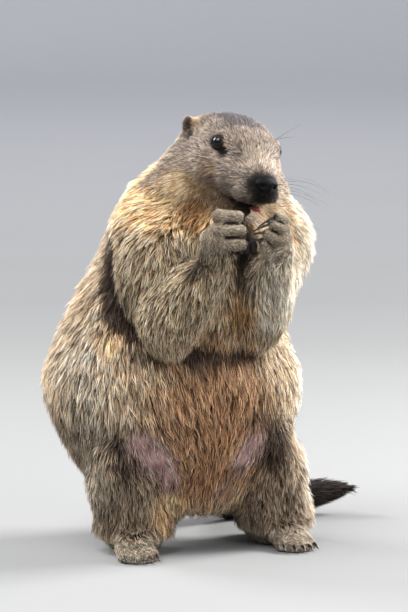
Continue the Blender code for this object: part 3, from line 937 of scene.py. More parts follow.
def part_digits(points, shares):
    """Brings the skin of each forepaw to the shape of its palm and its digits."""
    local = moved(points, CLAY.inverted())
    paw = ramp(of_member(shares, "forepaw"), 0.15, 0.6)
    for name, side in SIDES.items():
        own = paw * (side * (local[:, 0] - BETWEEN_PAWS) > 0)
        for _ in range(3):
            distance, way = hand_shape(local, name)
            share = own * (1 - ramp(np.abs(distance), 4, 8))
            local = local - way * (distance * share)[:, None]
    return moved(local, CLAY)


def fold_arms(points, normals):
    """Presses a fold into the skin behind each arm."""
    fold = np.zeros(len(points))
    for x, y, z in ARM_FOLD:
        for across in (x, 2 * MIDLINE - x):
            fold = np.maximum(fold, bump_at(points / MM, (across, y, z), FOLD_RADII))
    return points - normals * (FOLD_DEPTH * MM * fold)[:, None]


def part_lips(points, normals):
    """Presses the gap of the mouth in behind the lips."""
    radii, depth = LIP_GAP
    gap = bump_at(in_head(points), MOUTH, radii)
    return points - normals * (depth * MM * gap)[:, None]


class MARMOT_OT_skin(bpy.types.Operator):
    """Make the skin under the coat, in place of the solids of flesh"""

    bl_idname = "marmot.skin"
    bl_label = "Skin"

    def execute(self, context):
        remesh = {"mode": "VOXEL", "voxel_size": sizes().skin_grain}
        smooth = {"factor": 0.5, "iterations": 8}
        mesh = refined(shaped(joined_flesh(), ("REMESH", remesh), ("SMOOTH", smooth)))
        points, edges = points_of(mesh), edges_of(mesh)
        shares = member_shares(points, edges)
        paint = paint_shares(points, shares)
        normals = unit(spread(normals_of(mesh), edges, 4))
        depth = coat_depth_of(points, shares, paint)
        points = points - normals * depth[:, None]
        points = sink_nose(sink_eyes(points))
        points = hollow_ears(points, normals)
        points = part_digits(points, shares)
        points = fold_arms(points, normals)
        points = part_lips(points, normals)
        set_points(smoothed(mesh), points)
        bands = np.einsum("vp,pbc->vbc", leading(paint), palette_array())
        bare = of_colour(paint, "bare")[:, None]
        thin_coat = 0.5 * (1 - ramp(depth / MM, 2, 5))[:, None] * (1 - bare)
        paint_on(mesh, bands[:, 0] * (1 - bare - thin_coat) + bands[:, 1] * (bare + thin_coat))
        piece("skin", mesh, finish("skin"), "coat_back", *FLESH)
        WORK.update(points=points, shares=shares, paint=paint, depth=depth, edges=edges)
        return {"FINISHED"}


WORK = {}  # what the skin leaves for the coat: arrays with a row for each of its points


# ---------------------------------------------------------------- coat

# The coat's pieces with a slot name for each, in the order that they are grown
COAT_PIECES = {
    "coat_head_right": "coat_grizzled",
    "coat_head_left": "coat_grizzled",
    "coat_neck": "coat_ochre",
    "coat_arm_right": "coat_arm",
    "coat_arm_left": "coat_arm",
    "coat_breast": "coat_ochre",
    "coat_belly": "coat_back",
    "coat_flank_right": "coat_back",
    "coat_flank_left": "coat_back",
    "coat_back_upper": "coat_back",
    "coat_back_lower": "coat_back",
    "coat_leg_right": "coat_thigh",
    "coat_leg_left": "coat_thigh",
    "coat_tail": "coat_tail",
}
LIMBS = {"arm": ("upper_arm", "forearm", "forepaw"), "leg": ("thigh", "shank", "hind_foot")}

# Where the coat of the body is parted into its pieces, in millimetres
LIMBS_MIDDLE = -35
FRONT, FLANK_END = -22, 62
FLANKS = -118, 42
BACK_SPLIT, BREAST_SPLIT, FLANK_TOP = 190, 235, 300

LARGEST_PIECE = 199_000
STREAK = 0.5  # how strong the streaks are
PATCH = 0.003  # width of a tuft's patch on the bake's map
PATCH_PLACES = ((-0.5, -0.5), (0.5, -0.5), (0, -0.4), (-0.45, 0), (0.45, 0), (0, 0.05), (0, 0.5))

# How a tuft lies. The pairs are a middle value and how far it varies, or a lowest and a highest one
LENGTH_CHANGE = 0.16
TURN_CHANGE = 0.22
LOCK_TUFTS = 9  # tufts in a lock
LOCK_RISE = 0.82, 0.22  # height of a lock's tips, in depths of the coat
TUFT_RISE = 0.14  # how far a tuft's tip is off its lock's
RISE_LIMITS = 0.25, 1.4
GATHER = 1.1, 0.3  # how much of its member's pull a tuft follows
GATHER_LIMITS = 0, 1.6
WAIST = 0.52, 0.05  # how far along a tuft its waist is, and how far it strays aside
WAIST_RISE = 0.66
HIGHEST = 0.55  # how high a tuft reaches, in its own lengths
STRAYS, STRAY_FREEDOM = 0.14, (0.15, 0.6)  # share of stray tufts, and how free they are
BURIED = 0.6  # how deep a tuft starts under the skin, in millimetres
OFF_FLOOR = 0.3  # how far tufts stay off the floor, in millimetres
FLATNESS = 0.8  # how far the sides of a tuft are shaded aside

# How a tuft is coloured
OWN_COLOUR = 0.55  # how much one colour of its place leads in a tuft
LOCK_TONE, TUFT_TONE, WARMTH = 0.16, 0.24, 0.06  # how far the tones vary
DARK_TIPS = 0.25  # share of tufts with a dark tip
TIP_LIGHT = 0.8, 0.3

TUFT_FACES = (
    (0, 2, 1), (0, 1, 4), (0, 4, 3), (1, 2, 5), (1, 5, 4), (2, 0, 3), (2, 3, 5),
    (3, 4, 6), (4, 5, 6), (5, 3, 6),
)
SPIKE_FACES = ((0, 2, 1), (0, 1, 3), (1, 2, 3), (2, 0, 3))
SPIKE_POINTS = (0, 1, 2, 6)  # the points of a bent tuft that a straight one keeps


def coat_piece_of(points, shares):
    """Which of the coat's pieces each place belongs to."""
    member = np.array([MEMBERS[k] for k in shares.argmax(axis=1)])
    x, y, z = (points / MM).T
    names = np.full(len(points), "coat_back_upper", dtype="U20")
    names[(y >= FRONT) & (z < BACK_SPLIT)] = "coat_back_lower"
    names[(y < FRONT) & (z >= BREAST_SPLIT)] = "coat_breast"
    names[(y < FRONT) & (z < BREAST_SPLIT)] = "coat_belly"
    flank = (y < FLANK_END) & (z < FLANK_TOP)
    names[(x < FLANKS[0]) & flank] = "coat_flank_right"
    names[(x > FLANKS[1]) & flank] = "coat_flank_left"
    for limb, parts in LIMBS.items():
        own = np.isin(member, parts)
        names[own & (x < LIMBS_MIDDLE)] = f"coat_{limb}_right"
        names[own & (x >= LIMBS_MIDDLE)] = f"coat_{limb}_left"
    head = np.isin(member, ("head", "ear"))
    head_right = in_head(points)[:, 0] < 0
    names[head & head_right] = "coat_head_right"
    names[head & ~head_right] = "coat_head_left"
    names[member == "neck"] = "coat_neck"
    names[member == "tail"] = "coat_tail"
    return names


def unwrapped(points, triangles):
    """Places of the triangles' corners on an unwrap of that part of the skin."""
    used, corner = np.unique(triangles, return_inverse=True)
    mesh = mesh_of(points[used], corner.reshape(-1, 3))
    holder = bpy.data.objects.new("unwrap", mesh)
    bpy.context.scene.collection.objects.link(holder)
    bpy.context.view_layer.objects.active = holder
    holder.select_set(True)
    bpy.ops.object.mode_set(mode="EDIT")
    bpy.ops.mesh.select_all(action="SELECT")
    bpy.ops.uv.smart_project(angle_limit=math.radians(75), island_margin=0.004)
    bpy.ops.object.mode_set(mode="OBJECT")
    places = rows_from(mesh.uv_layers[0].uv, "vector", 2)
    bpy.data.objects.remove(holder)
    bpy.data.meshes.remove(mesh)
    return places.reshape(-1, 3, 2).astype(float)


def locks_of(roots, lie, chance):
    """For each tuft, the tuft that leads its lock."""
    count = max(1, int(len(roots) / LOCK_TUFTS))
    leaders = chance.choice(len(roots), count, replace=False)
    tree = KDTree(count)
    for k, leader in enumerate(leaders):
        tree.insert(roots[leader] + lie[leader] * 2 * MM, k)
    tree.balance()
    return np.array([leaders[tree.find(root)[1]] for root in roots])


def grown(triangles, chance):
    """Where tufts grow on some triangles of the skin, and the members' growth at its points."""
    corners = WORK["points"][triangles]
    edges = corners[:, 1] - corners[:, 0], corners[:, 2] - corners[:, 0]
    area = np.linalg.norm(np.cross(*edges), axis=1) / 2
    growth = WORK["shares"] @ np.array(list(GROWTH.values()))
    density = growth[:, 3] * WORK["thin"] * sizes().coat_density
    expected = area * density[triangles].mean(axis=1) * 1e4
    count = np.floor(expected + chance.random(len(expected))).astype(int)
    face = np.repeat(np.arange(len(triangles)), count)
    u, v = np.sqrt(chance.random(len(face))), chance.random(len(face))
    weights = np.stack((1 - u, u * (1 - v), u * v), axis=1)

    def at_roots(values):
        rows = values[triangles[face]]
        return (rows * weights.reshape(len(face), 3, *([1] * (rows.ndim - 2)))).sum(axis=1)

    return face, weights, at_roots, growth


def tuft_arrays(triangles, tree, chance):
    """Points, shading normals and colours of one coat piece's tufts, which of them are straight,
    and the triangle and the place in it that each grows from."""
    face, weights, at_roots, growth = grown(triangles, chance)
    n = len(face)
    roots = at_roots(WORK["points"])
    normals = unit(at_roots(WORK["normals"]))
    lie = at_roots(WORK["lie"])
    lie = unit(lie - (lie * normals).sum(axis=1, keepdims=True) * normals)
    depth = at_roots(WORK["depth"]) / MM
    _, length, width, _, pull, bent = at_roots(growth).T
    length = length * at_roots(WORK["short"]) * np.exp(LENGTH_CHANGE * chance.standard_normal(n))
    across = np.cross(normals, lie)
    lie = unit(lie + TURN_CHANGE * chance.standard_normal((n, 1)) * across)
    leader = locks_of(roots, lie, chance)
    lock_rise = (LOCK_RISE[0] + LOCK_RISE[1] * chance.standard_normal(n))[leader]
    rise = np.clip(lock_rise + TUFT_RISE * chance.standard_normal(n), *RISE_LIMITS)
    reach = lie * (length * MM)[:, None]
    heads = roots + reach
    gather = pull * np.clip(GATHER[0] + GATHER[1] * chance.standard_normal(n), *GATHER_LIMITS)
    heads = heads + (roots[leader] + reach[leader] - heads) * np.clip(gather, 0, 0.9)[:, None]
    aside = WAIST[1] * length * chance.standard_normal(n) * MM
    waists = roots + (heads - roots) * WAIST[0] + across * aside[:, None]
    tip_place, tip_normal = on_skin(heads, tree)
    waist_place, waist_normal = on_skin(waists, tree)
    height = np.minimum(depth, length * HIGHEST) * MM
    tip = tip_place + tip_normal * (height * rise)[:, None]
    waist = waist_place + waist_normal * (height * rise * WAIST_RISE + 0.1 * MM)[:, None]
    stray = (chance.random(n) < STRAYS) * chance.uniform(*STRAY_FREEDOM, n)
    shares = at_roots(WORK["shares"])
    stray *= 1 - 0.8 * of_member(shares, "tail")
    free = np.maximum(at_roots(WORK["free"]), stray)[:, None]
    sag = 1 - of_member(shares, "ear")[:, None]
    away = unit(lie + 0.28 * normals + sag * (0, 0, -0.25))
    loose = roots + normals * (height * 0.6)[:, None] + away * (length * MM)[:, None]
    tip += (loose - tip) * free
    waist += ((roots + loose) / 2 + normals * (height * 0.25)[:, None] - waist) * free
    base = roots - normals * BURIED * MM
    half = width * MM * sizes().tuft_width / 2
    first = unit(waist - base)
    side = unit(np.cross(normals, first))
    over = np.cross(first, side)
    rings = []
    for centre, share, ridge in ((base, 1.0, 0.55), (waist, 0.82, 0.5)):
        w = (half * share)[:, None]
        rings += [centre - side * w, centre + side * w, centre + over * w * 2 * ridge]
    shape = np.stack([*rings, tip], axis=1)
    shape[..., 2] = np.maximum(shape[..., 2], OFF_FLOOR * MM)
    bend = [normals - side * FLATNESS, normals + side * FLATNESS, normals * 1.2 + over * 0.3]
    shade = np.stack([*bend, *bend, normals + 0.5 * unit(tip - waist)], axis=1)
    straight = chance.random(n) >= bent
    tone = np.exp(STREAK * at_roots(WORK["streak"]))
    paint = tuft_colours(at_roots(WORK["paint"]), tone, straight, leader, chance)
    return shape, unit(shade), paint, straight, face, weights


def joined(rows, straight):
    """The rows of the bent tufts' points and then those of the straight ones', as one list."""
    width = rows.shape[-1]
    bent_rows, straight_rows = rows[~straight], rows[straight][:, SPIKE_POINTS]
    return np.concatenate((bent_rows.reshape(-1, width), straight_rows.reshape(-1, width)))


def tuft_faces(straight):
    """The faces of the bent tufts, with seven points each, and of the straight ones, with four."""
    bent_count, straight_count = (~straight).sum(), straight.sum()
    bent = np.array(TUFT_FACES)[None] + 7 * np.arange(bent_count)[:, None, None]
    spikes = np.array(SPIKE_FACES)[None] + 4 * np.arange(straight_count)[:, None, None]
    return np.concatenate((bent.reshape(-1, 3), 7 * bent_count + spikes.reshape(-1, 3)))


def on_skin(places, tree):
    """The nearest places on the skin, and the way out from it there."""
    found = [tree.find_nearest(place)[:2] for place in places]
    return np.array([f[0] for f in found]), np.array([f[1] for f in found])


def tuft_colours(paint, tone, straight, leader, chance):
    """Colours of every point of every tuft: its three bands, mottled from tuft to tuft. A straight
    tuft has no middle band, so its tip is darker."""
    n = len(paint)
    shares = paint / paint.sum(axis=1, keepdims=True)
    edge = (shares ** 3).cumsum(axis=1)
    edge /= edge[:, -1:]
    chosen = (edge < chance.random((n, 1))).sum(axis=1).clip(0, len(PALETTES) - 1)
    bands = palette_array()
    mixed = np.einsum("np,pbc->nbc", leading(shares), bands)
    mixed = (1 - OWN_COLOUR) * mixed + OWN_COLOUR * bands[chosen]
    lock_tone = np.exp(LOCK_TONE * chance.standard_normal(n))[leader]
    tone = tone * lock_tone * np.exp(TUFT_TONE * chance.standard_normal(n))
    warmth = 1 + WARMTH * chance.standard_normal((n, 1)) * np.array((1.0, 0.2, -1.0))
    root, waist, tip = mixed[:, 0], mixed[:, 1], mixed[:, 2]
    dark_tip = (chance.random(n) < DARK_TIPS)[:, None]
    pale = np.clip(TIP_LIGHT[0] + TIP_LIGHT[1] * chance.standard_normal((n, 1)), 0, 1.2)
    pale *= np.where(straight, 0.72, 1.0)[:, None]
    tip = np.where(dark_tip, root * 1.2, waist + (tip - waist) * pale)
    waist = np.where(dark_tip, waist * 0.4, 0.86 * waist + 0.14 * tip)
    base = np.where(straight[:, None], 0.6 * root + 0.25 * waist, root * 0.8)
    rows = [base] * 3 + [waist] * 3 + [tip]
    rows = np.stack(rows, axis=1) * tone[:, None, None] * warmth[:, None, :]
    return np.clip(rows, 0.002, 0.95)


def patch_places(places, face, weights):
    """Places of every tuft's points on the bake's map: a small patch at its root's place."""
    centre = (places[face] * weights[..., None]).sum(axis=1)
    return np.clip(centre[:, None] + np.array(PATCH_PLACES) * PATCH, 0.0005, 0.9995)


class MARMOT_OT_coat(bpy.types.Operator):
    """Grow the coat over the skin, in overlapping tufts that follow its lie"""

    bl_idname = "marmot.coat"
    bl_label = "Coat"

    def execute(self, context):
        skin = bpy.data.objects.get("skin")
        if not skin:
            raise RuntimeError("the coat needs the skin first")
        mesh = skin.data
        triangles = triangles_of(mesh)
        points = WORK["points"]
        normals = unit(spread(normals_of(mesh), WORK["edges"], 2))
        WORK["normals"] = normals
        WORK["lie"] = lie_of(points, normals)
        WORK["thin"], WORK["short"] = thinning(points, normals)
        WORK["free"] = freedom(points)
        WORK["streak"] = streaks(points)
        tree = BVHTree.FromPolygons(points.tolist(), triangles.tolist())
        names = coat_piece_of(points[triangles].mean(axis=1), WORK["shares"][triangles].mean(axis=1))
        for order, (name, slot) in enumerate(COAT_PIECES.items()):
            chance = np.random.default_rng(sizes().seed + order)
            part = triangles[names == name]
            shape, shade, paint, straight, face, weights = tuft_arrays(part, tree, chance)
            places = patch_places(unwrapped(points, part), face, weights)
            faces = tuft_faces(straight)
            if len(faces) > LARGEST_PIECE:
                raise RuntimeError(f"{name} has {len(faces)} triangles, too many for one piece")
            made = mesh_of(joined(shape, straight), faces)
            paint_on(made, joined(paint, straight))
            layer = made.uv_layers.new(name="OFBake")
            places = joined(places, straight)[faces.ravel()]
            layer.uv.foreach_set("vector", places.astype(np.float32).ravel())
            made.normals_split_custom_set_from_vertices(joined(shade, straight))
            piece(name, made, finish("coat", name=f"Marmot {name.replace('_', ' ')}"), slot)
        return {"FINISHED"}


def freedom(points):
    """How far the tufts of each place hang free of the skin instead of lying along it."""
    shares = WORK["shares"]
    x, y, z = (points / MM).T
    arm = of_member(shares, "upper_arm") + of_member(shares, "forearm")
    hem = arm * (1 - ramp(z, 226, 250)) * ramp(-y, 20, 50)
    tail = of_member(shares, "tail") * ramp(x, 160, 182) * 0.45
    ear = 0.6 * of_member(shares, "ear")
    return np.clip(np.maximum(np.maximum(0.85 * hem, tail), ear), 0, 1)


def streaks(points):
    """Darker and lighter streaks down the coat, drawn together toward the hem of the belly."""
    x, y, z = (points / MM).T
    drawn = 0.4 * ramp(-y, 20, 60) * ramp(220 - z, 0, 40)
    places = np.stack(((np.abs(x - MIDLINE) - drawn * z) / 9, y / 9, z / 38), axis=1)
    return np.array([noise.noise(place) for place in places])


def thinning(points, normals):
    """How thick and how long the coat is at each point, against its member's usual."""
    local = in_head(points, fold=True)
    thin, short = np.ones(len(points)), np.ones(len(points))
    near_nose = bump_at(local, NOSE, (24, 24, 24))
    short *= 1 - 0.5 * near_nose
    thin *= 1 + 0.5 * near_nose
    reach, facing = round_eye(points)
    eye_bare = ramp(facing, 0.50, 0.60) * (reach < 1.6 * EYE_RADIUS)
    near_eye = bump_at(local, EYE, (14, 14, 14))
    thin *= (1 - eye_bare) * (1 + 0.8 * near_eye)
    short *= 1 - 0.6 * near_eye
    thin *= ramp(np.linalg.norm((local - NOSE) / NOSE_RADII, axis=1), 0.75, 0.95)
    bare = of_colour(WORK["paint"], "bare")
    thin *= 1 - 0.85 * ramp(bare, 0.3, 0.8)
    short *= 1 - 0.35 * bare
    chin = bump_at(local, CHIN, (18, 16, 9))
    thin *= (1 - ramp(bump_at(local, MOUTH, (17, 15, 1.5)), 0.25, 0.5)) * (1 + 0.9 * chin)
    short *= 1 - 0.5 * chin
    for groove, end in (digit_marks(points, name) for name in SIDES):
        thin *= 1 - 0.8 * groove
        short *= 1 - 0.5 * groove - 0.4 * end * (1 - groove)
    sole = (normals[:, 2] < -0.75) & (points[:, 2] < 6 * MM)
    thin[sole] = 0
    return thin, short


# ---------------------------------------------------------------- eyes

# The eyelids' opening and their rim, in eye radii
LID_OPENING = 0.90, 0.64  # half width and half height
CORNER = 0.34, -0.30  # share by which each changes toward the corner in front
CORNER_DROP = 0.30
LID_TILT = 0.17
LID_RIM = 0.10, 0.16  # thickness of the rim, and how much thicker it is in front
LID_STEPS, LID_SECTION = 64, 10  # points round the opening and round the rim
IRIS_RING = (0.55, 0.66), (0.80, 0.90)  # where the iris starts and ends, seen from the front
EYE_FILL, DOME = 0.97, 0.05  # the ball's radius and its dome, in radii of the eye's solid


def ball(segments=48, rings=24):
    """A smooth ball of radius 1."""
    bm = bmesh.new()
    bmesh.ops.create_uvsphere(bm, u_segments=segments, v_segments=rings, radius=1)
    return smoothed(mesh_from(bm))


def facing_turn(direction, up=Vector((0, 0, 1))):
    """A turn that brings Z to direction and Y near up."""
    z = direction.normalized()
    x = up.cross(z).normalized()
    return Matrix((x, z.cross(x), z)).transposed()


def eye_look(side):
    """The way that an eye looks, in the model."""
    return HEAD_TURN @ Vector((side * EYE_LOOK.x, EYE_LOOK.y, EYE_LOOK.z))


class MARMOT_OT_eyes(bpy.types.Operator):
    """Make the eyes, each with its clear dome, its iris and the rims of its lids"""

    bl_idname = "marmot.eyes"
    bl_label = "Eyes"

    def execute(self, context):
        wet = finish("eye")
        rim = finish("eyelid", tuple(colours().lid))
        for name, side in SIDES.items():
            low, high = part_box(f"eye_{name}")
            centre, radius = (low + high) / 2, (high.x - low.x) / 2
            turn = facing_turn(eye_look(side))
            mesh = ball()
            points = points_of(mesh)
            facing = points[:, 2]
            iris = np.array(colours().iris)
            ring = ramp(facing, *IRIS_RING[0]) * (1 - ramp(facing, *IRIS_RING[1]))
            paint_on(mesh, 0.003 + iris[None] * ring[:, None] * 0.7)
            dome = 1 + DOME * ramp(facing, 0.6, 1.0)
            points = points * dome[:, None] * radius * EYE_FILL
            set_points(mesh, moved(points, Matrix.Translation(centre) @ turn.to_4x4()))
            piece(f"eyeball_{name}", mesh, wet, "eye_glass", f"eye_{name}")
            piece(f"eyelids_{name}", lids(centre, radius, turn, side), rim, "coat_grizzled")
        return {"FINISHED"}


def lids(centre, radius, turn, side):
    """The two lids' rims as one soft ring on the eyeball, drawn out to a corner in front."""
    points = []
    for step in range(LID_STEPS):
        angle = math.tau * step / LID_STEPS
        x, y = math.cos(angle), math.sin(angle)
        front = max(0.0, -side * x) ** 3
        back = max(0.0, side * x) ** 6
        wide = LID_OPENING[0] * (1 + CORNER[0] * front + 0.04 * back)
        high = LID_OPENING[1] * (1 + CORNER[1] * front)
        flat = Vector((x * wide, y * high + side * x * LID_TILT - CORNER_DROP * front, 0))
        outward = Vector((x, y, 0)).normalized()
        rim = LID_RIM[0] + LID_RIM[1] * front + 0.03 * max(0.0, y)
        for k in range(LID_SECTION):
            around = math.tau * k / LID_SECTION
            place = flat + outward * (0.07 + rim * math.cos(around))
            on_eye = math.sqrt(max(0.02, 1 - min(0.97, place.length_squared)))
            place.z = on_eye + 0.045 + 0.075 * math.sin(around)
            points.append(centre + turn @ (place * radius))
    return mesh_of(np.array([tuple(p) for p in points]), tube_faces(LID_STEPS, LID_SECTION, closed=True))


# ---------------------------------------------------------------- nose and mouth

NOSE_RELIEF = (
    # place and radii on the left half of a ball of radius 1, and depth in millimetres
    ((0.52, -0.80, -0.22), (0.20, 0.5, 0.22), 3.2),  # nostril
    ((0.78, -0.52, -0.36), (0.22, 0.4, 0.12), 2.0),  # slit beside it
    ((0.66, -0.62, 0.12), (0.25, 0.4, 0.22), -0.8),  # wing over it
)
NOSE_GROOVE = 0.09, 1.5  # width in radii and depth in millimetres
NOSE_TILT = math.radians(-16)
MOUTH_PARTS = {
    # middle and radii, in head millimetres
    # the lining, near black as painted shade in the open mouth
    "mouth_lining": ((0, -37.5, -37), (13.5, 12.5, 2.8)),
    "tongue": ((8, -51.5, -38.3), (5.5, 5.5, 2.4)),
}


class MARMOT_OT_nose(bpy.types.Operator):
    """Make the nose pad with its nostrils and the groove below it"""

    bl_idname = "marmot.nose"
    bl_label = "Nose"

    def execute(self, context):
        mesh = ball(72, 48)
        points = points_of(mesh)
        x, y, z = points.T
        width = 1 - 0.28 * ramp(-z, 0.1, 1.0)
        shape = points * NOSE_RADII
        shape[:, 0] *= width
        front = ramp(-y, 0.0, 0.6)
        for side in SIDES.values():
            for centre, radii, depth in NOSE_RELIEF:
                shape[:, 1] += bump_at(points, np.multiply(centre, (side, 1, 1)), radii) * depth * front
        groove = np.exp(-(x / NOSE_GROOVE[0]) ** 2) * ramp(-z, -0.2, 0.4) * front
        shape[:, 1] += groove * NOSE_GROOVE[1]
        tilt = Matrix.Rotation(NOSE_TILT, 4, "X")
        set_points(mesh, moved(shape, HEAD @ Matrix.Translation(Vector(NOSE)) @ tilt))
        leather = finish("nose leather", tuple(colours().nose))
        piece("nose_pad", mesh, leather, "nose_leather", "nose")
        return {"FINISHED"}


class MARMOT_OT_mouth(bpy.types.Operator):
    """Make the lining of the parted lips, near black as painted shade in the open mouth, and the tongue
    in it
    """

    bl_idname = "marmot.mouth"
    bl_label = "Mouth"

    def execute(self, context):
        for name, (centre, radii) in MOUTH_PARTS.items():
            mesh = ball(32, 20)
            points = points_of(mesh)
            shape = points * radii
            shape[:, 2] -= 0.12 * radii[2] * np.exp(-(points[:, 0] / 0.25) ** 2) * (points[:, 2] > 0)
            set_points(mesh, moved(shape, HEAD @ Matrix.Translation(centre)))
            colour = tuple(getattr(colours(), name))
            piece(name, mesh, finish(name.replace("_", " "), colour), "nose_leather")
        return {"FINISHED"}


# ---------------------------------------------------------------- claws and pads

CLAW_FULLNESS = 0.3  # how far a smoothed claw is let out again, in millimetres
PADS = (
    # middle and radii, in millimetres
    ((-21.5, -133, 323), (4.2, 4.5, 7.0)),
    ((-29.5, -134, 322), (3.4, 4.5, 6.0)),
)


class MARMOT_OT_claws(bpy.types.Operator):
    """Make the claws of each paw, smooth and pointed, in place of their solids"""

    bl_idname = "marmot.claws"
    bl_label = "Claws"

    def execute(self, context):
        gloss = (("Coat Weight", 0.1), ("Coat Roughness", 0.2))
        horn = finish("claw horn", tuple(colours().horn), shader=gloss)
        for limb in ("fore", "hind"):
            for name in SIDES:
                nodes = sorted(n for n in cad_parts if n.startswith(f"claw_{limb}_{name}_"))
                bm = bmesh.new()
                for node in nodes:
                    bm.from_mesh(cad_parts[node].data)
                bmesh.ops.remove_doubles(bm, verts=bm.verts, dist=1e-6)
                bmesh.ops.join_triangles(
                    bm, faces=bm.faces, angle_face_threshold=0.6, angle_shape_threshold=1.6
                )
                bmesh.ops.recalc_face_normals(bm, faces=bm.faces)
                mesh = shaped(mesh_from(bm), ("SUBSURF", {"levels": 2, "render_levels": 2}))
                fuller = points_of(mesh) + normals_of(mesh) * CLAW_FULLNESS * MM
                set_points(smoothed(mesh), fuller)
                piece(f"claws_{limb}_{name}", mesh, horn, "claw_horn", *nodes)
        return {"FINISHED"}


class MARMOT_OT_pads(bpy.types.Operator):
    """Make the bare pads at the heels of the forepaws"""

    bl_idname = "marmot.pads"
    bl_label = "Pads"

    def execute(self, context):
        bm = bmesh.new()
        for centre, radii in PADS:
            place = Matrix.Translation(Vector(centre) * MM) @ Matrix.Diagonal((*(Vector(radii) * MM), 1))
            bmesh.ops.create_uvsphere(bm, u_segments=24, v_segments=16, radius=1, matrix=place)
        leather = finish("paw pad", tuple(colours().pad))
        piece("paw_pads", smoothed(mesh_from(bm)), leather, "coat_forepaw")
        return {"FINISHED"}


# ---------------------------------------------------------------- whiskers

WHISKER_ROWS, WHISKER_COLUMNS, BROW_WHISKERS = 4, 4, 2  # on each side
WHISKER_LENGTH, WHISKER_SAG = 58, -0.32


class MARMOT_OT_whiskers(bpy.types.Operator):
    """Set the whiskers in the sides of the muzzle and over the eyes"""

    bl_idname = "marmot.whiskers"
    bl_label = "Whiskers"

    def execute(self, context):
        chance = np.random.default_rng(sizes().seed)
        points, faces = [], []
        for side in SIDES.values():
            for row in range(WHISKER_ROWS):
                for column in range(WHISKER_COLUMNS):
                    root = Vector((side * (11 + 2.2 * column), -66 + 4.5 * column, -10 - 4.5 * row))
                    away = Vector((side * (0.9 + 0.1 * column), -0.25 + 0.28 * column, 0.42 - 0.28 * row))
                    length = WHISKER_LENGTH + 10 * column - 3 * row + chance.uniform(-6, 6)
                    sag = WHISKER_SAG + chance.uniform(-0.1, 0.1)
                    add_hair(points, faces, root, away, length, sag)
            for k in range(BROW_WHISKERS):
                root = Vector((side * (24 - 3 * k), -24 - 3 * k, 24))
                away = Vector((side * 0.8, -0.6, 1.3 - 0.7 * k))
                add_hair(points, faces, root, away, 30 - 8 * k, -0.1)
        stiff = finish("whisker", tuple(colours().whisker))
        piece("whiskers", mesh_of(np.array(points), faces), stiff, "coat_grizzled")
        return {"FINISHED"}


def add_hair(points, faces, root, away, length, sag, steps=10, sides=4):
    """One stiff tapering hair, in head millimetres, that bends by sag of its length."""
    away = away.normalized()
    thick = sizes().whisker_thickness / MM / 2
    side = away.cross(Vector((0, 0, 1))).normalized()
    over = side.cross(away)
    first = len(points)
    for step in range(steps + 1):
        t = step / steps
        spot = root + away * length * t + Vector((0, 0.25, 1)) * length * sag * t * t
        radius = thick * (1 - 0.85 * t)
        for k in range(sides):
            angle = math.tau * k / sides
            ring = spot + (side * math.cos(angle) + over * math.sin(angle)) * radius
            points.append(tuple(HEAD @ ring))
    faces += tube_faces(steps + 1, sides, first=first)
    faces.append(tuple(first + k for k in reversed(range(sides))))
    faces.append(tuple(first + steps * sides + k for k in range(sides)))


# ---------------------------------------------------------------- stage

PIXEL = 1.02 * MM  # size of one pixel of the camera's frame at the animal
PICTURE = (408, 612)  # the camera's frame, in pixels
FOOT_PIXEL = (183.0, 544.4)  # where the point between the feet falls in it
SENSOR = 36  # width of the camera's sensor, in millimetres
FOOT_POINT = CLAY.to_translation()
VIEW_AZIMUTH, VIEW_ELEVATION = math.radians(-20), math.radians(8)
VIEW_DISTANCE = 4.5

# The stage, in metres
FLOOR_FRONT, FLOOR_BACK, FLOOR_HALF, SWEEP, WALL_TOP = -7, 5.4, 8, 1.5, 6
FAR_OFF = 1.4, 4.5  # distances between which the floor pales
LAMPS = (
    # name, the setting of its power and the share of it, size, and place to the camera's right,
    # toward the camera and up, in metres
    ("key", "key", 1.0, 1.9, (-1.1, 1.3, 2.2)),
    ("fill", "fill", 1.0, 1.6, (1.6, 1.8, 0.6)),
    ("rim_right", "rim", 1.0, 0.9, (1.8, -0.6, 1.1)),
    ("rim_left", "rim", 0.45, 0.9, (-1.6, -1.0, 1.3)),
)
LAMPS_AIM = Vector((-0.04, 0, 0.25))
SKY_COLOUR = (0.86, 0.90, 1.0, 1)


def view_axes():
    """Right, up and backward of the camera."""
    a, e = VIEW_AZIMUTH, VIEW_ELEVATION
    back = Vector((math.sin(a) * math.cos(e), -math.cos(a) * math.cos(e), math.sin(e)))
    right = Vector((math.cos(a), math.sin(a), 0))
    return right, back.cross(right), back


